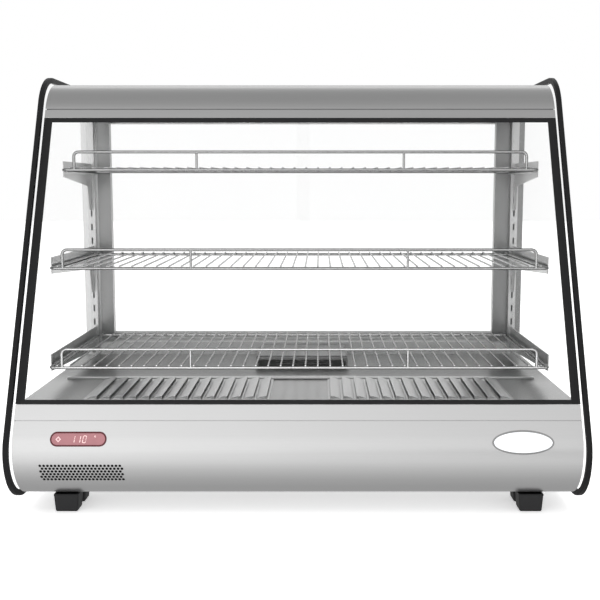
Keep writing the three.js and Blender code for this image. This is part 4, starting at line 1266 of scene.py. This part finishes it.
# moulded feet: two tapered pads under one flange
footPad = {"length": 33 * mm, "flange": 3 * mm, "flangeInset": 1 * mm, "flangeRound": 0.8 * mm,
           "taper": 0.9, "round": 3.2 * mm}


def makeFoot(end, side):
    node = f"foot_{end}_{side}"
    low, high = boxOf(node)
    pads = []
    for y in (low.y, high.y - footPad["length"]):
        pad = block("footPad", (low.x, y, low.z), (high.x, y + footPad["length"], high.z))
        pick(pad, lambda f: f.normal.z < -0.9, "FACE")
        bpy.ops.transform.resize(value=(footPad["taper"], footPad["taper"], 1),
                                 center_override=((low.x + high.x) / 2, y + footPad["length"] / 2, low.z))
        leaveEdit()
        addBevel(pad, footPad["round"], 4)
        pads.append(pad)
    inset = footPad["flangeInset"]
    flange = block("footFlange", (low.x, low.y + inset, high.z - footPad["flange"]),
                   (high.x, high.y - inset, high.z), footPad["flangeRound"])
    foot = joinAll("foot" + end.title() + side.title(), [*pads, flange])
    placed(foot, "case", footRubber, node)


for end in ("front", "rear"):
    for side in ("left", "right"):
        makeFoot(end, side)
print("feet made")

# what works under the deck keeps its own shape
for node in ("heater_left", "heater_right"):
    finishNode(node, heaterSkin)
finishNode("plenum_pan", brushedFront)
finishNode("fan_frame", blackPlastic)
finishNode("fan_rotor", blackPlastic)

# studio: pale floor, soft light and the camera
studio = {"floor": 24.0, "floorTone": 0.95, "floorGlow": 0.45, "lens": 56.4, "pitch": 6.915,
          "camera": (0.0334, -1.636, 0.508), "shift": -0.0333, "horizon": 1.0, "zenith": 0.62,
          "horizonEnd": 0.55, "leftGlow": 1.5, "rightGlow": 1.0, "glowReach": 0.3, "aheadFrom": -0.45,
          "aheadTo": -0.75}
# each lamp: power, place, size, what it points at, whether polished pieces show it
softboxes = {
    "washSoftbox": (60, (0, -1.0, 3.2), (3.5, 3.5), (0, -0.3, 0), False),
    "keySoftbox": (7, (-1.9, -1.5, 1.4), (1.6, 1.8), (0, 0, 0.3), False),
    "rimSoftbox": (6, (0, 1.7, 2.1), (5.0, 0.5), (0, 0, 0.6), True),
}
reflector = {"halfWidth": 2.2, "start": -0.1, "reach": 2.6, "lift": 2 * mm, "gradeFrom": -0.2,
             "gradeTo": -0.75, "leftTone": 1.0, "rightTone": 0.55, "leftX": -0.45, "rightX": 0.55,
             "glow": 1.37, "grade": [(0.0, 0.34), (0.1, 0.42), (0.2, 0.58), (0.4, 0.86), (1.0, 1.0)]}


def softbox(name, power, place, size, aim, reflected):
    bpy.ops.object.light_add(type="AREA", location=place)
    light = bpy.context.object
    light.name = name
    light.data.energy = power
    light.data.shape = "RECTANGLE"
    light.data.size, light.data.size_y = size
    light.rotation_euler = (Vector(aim) - Vector(place)).to_track_quat("-Z", "Y").to_euler()
    light.visible_glossy = reflected


def addReflector():
    # a graded card in front that only the polished steel sees
    bpy.ops.object.select_all(action="DESELECT")
    middleY = reflector["start"] - reflector["reach"] / 2
    bpy.ops.mesh.primitive_plane_add(size=1, location=(0, middleY, reflector["lift"]))
    card = bpy.context.object
    card.name = "floorReflector"
    card.scale = (2 * reflector["halfWidth"], reflector["reach"], 1)
    settle(card)
    skin = Finish("reflectorSkin", roughness=1.0)
    far = skin.ranged(skin.along(1), 0.0, 1.0, reflector["gradeFrom"], reflector["gradeTo"])
    stops = [(at, grey(tone)) for at, tone in reflector["grade"]]
    away = skin.node("ShaderNodeValToRGB", {"stops": stops}, {"Fac": far})
    across = skin.ranged(skin.along(0), reflector["leftTone"], reflector["rightTone"],
                         reflector["leftX"], reflector["rightX"])
    skin.into("Base Color", (0, 0, 0, 1))
    skin.into("Emission Color", skin.mixed(1 - (1 - across) * far, (0, 0, 0, 1), away))
    skin.shader.inputs["Emission Strength"].default_value = reflector["glow"]
    card.data.materials.append(skin.material)
    card.visible_camera = card.visible_diffuse = card.visible_shadow = False
    card.visible_transmission = False


def worldRange(tree, source, fromLow, fromHigh, low=0.0, high=1.0):
    ramp = tree.nodes.new("ShaderNodeMapRange")
    tree.links.new(source, ramp.inputs["Value"])
    limits = {"From Min": fromLow, "From Max": fromHigh, "To Min": low, "To Max": high}
    for socket, value in limits.items():
        ramp.inputs[socket].default_value = value
    return ramp.outputs[0]


def addWorld(scene):
    world = bpy.data.worlds.new("studio")
    scene.world = world
    world.use_nodes = True
    tree = world.node_tree
    direct = tree.nodes.new("ShaderNodeTexCoord")
    parts = tree.nodes.new("ShaderNodeSeparateXYZ")
    tree.links.new(direct.outputs["Generated"], parts.inputs[0])
    x, y, z = parts.outputs
    upward = worldRange(tree, z, studio["horizonEnd"], 1.0, studio["horizon"], studio["zenith"])
    # the room in front is a little brighter on the left, and what stands behind is even
    reach = studio["glowReach"]
    across = worldRange(tree, x, -reach, reach, studio["leftGlow"], studio["rightGlow"])
    side = tree.nodes.new("ShaderNodeMix")
    tree.links.new(worldRange(tree, y, studio["aheadFrom"], studio["aheadTo"]), side.inputs[0])
    side.inputs[2].default_value = 1.0
    tree.links.new(across, side.inputs[3])
    both = tree.nodes.new("ShaderNodeMath")
    both.operation = "MULTIPLY"
    tree.links.new(upward, both.inputs[0])
    tree.links.new(side.outputs[0], both.inputs[1])
    tree.links.new(both.outputs[0], tree.nodes["Background"].inputs["Strength"])
    tree.nodes["Background"].inputs["Color"].default_value = (1, 1, 1, 1)


def addStudio():
    bpy.ops.object.select_all(action="DESELECT")
    bpy.ops.mesh.primitive_plane_add(size=studio["floor"], location=(0, 0, 0))
    floor = bpy.context.object
    floor.name = "floor"
    pale = Finish("paleFloor", roughness=0.7, glow=(1, 1, 1, 1), emission=studio["floorGlow"])
    tone = pale.noise(pale.coordinates(), 0.6, 2.0)
    pale.into("Base Color", pale.mixed(tone, grey(studio["floorTone"] - 0.01), grey(studio["floorTone"])))
    floor.data.materials.append(pale.material)
    addReflector()

    scene = bpy.context.scene
    scene.view_settings.view_transform = "Standard"
    addWorld(scene)
    for name, settings in softboxes.items():
        softbox(name, *settings)

    bpy.ops.object.camera_add(location=studio["camera"])
    camera = bpy.context.object
    camera.rotation_euler = (math.radians(90 - studio["pitch"]), 0, 0)
    camera.data.lens = studio["lens"]
    camera.data.sensor_width = 36
    camera.data.shift_x = studio["shift"]
    scene.camera = camera


addStudio()
print("studio set")
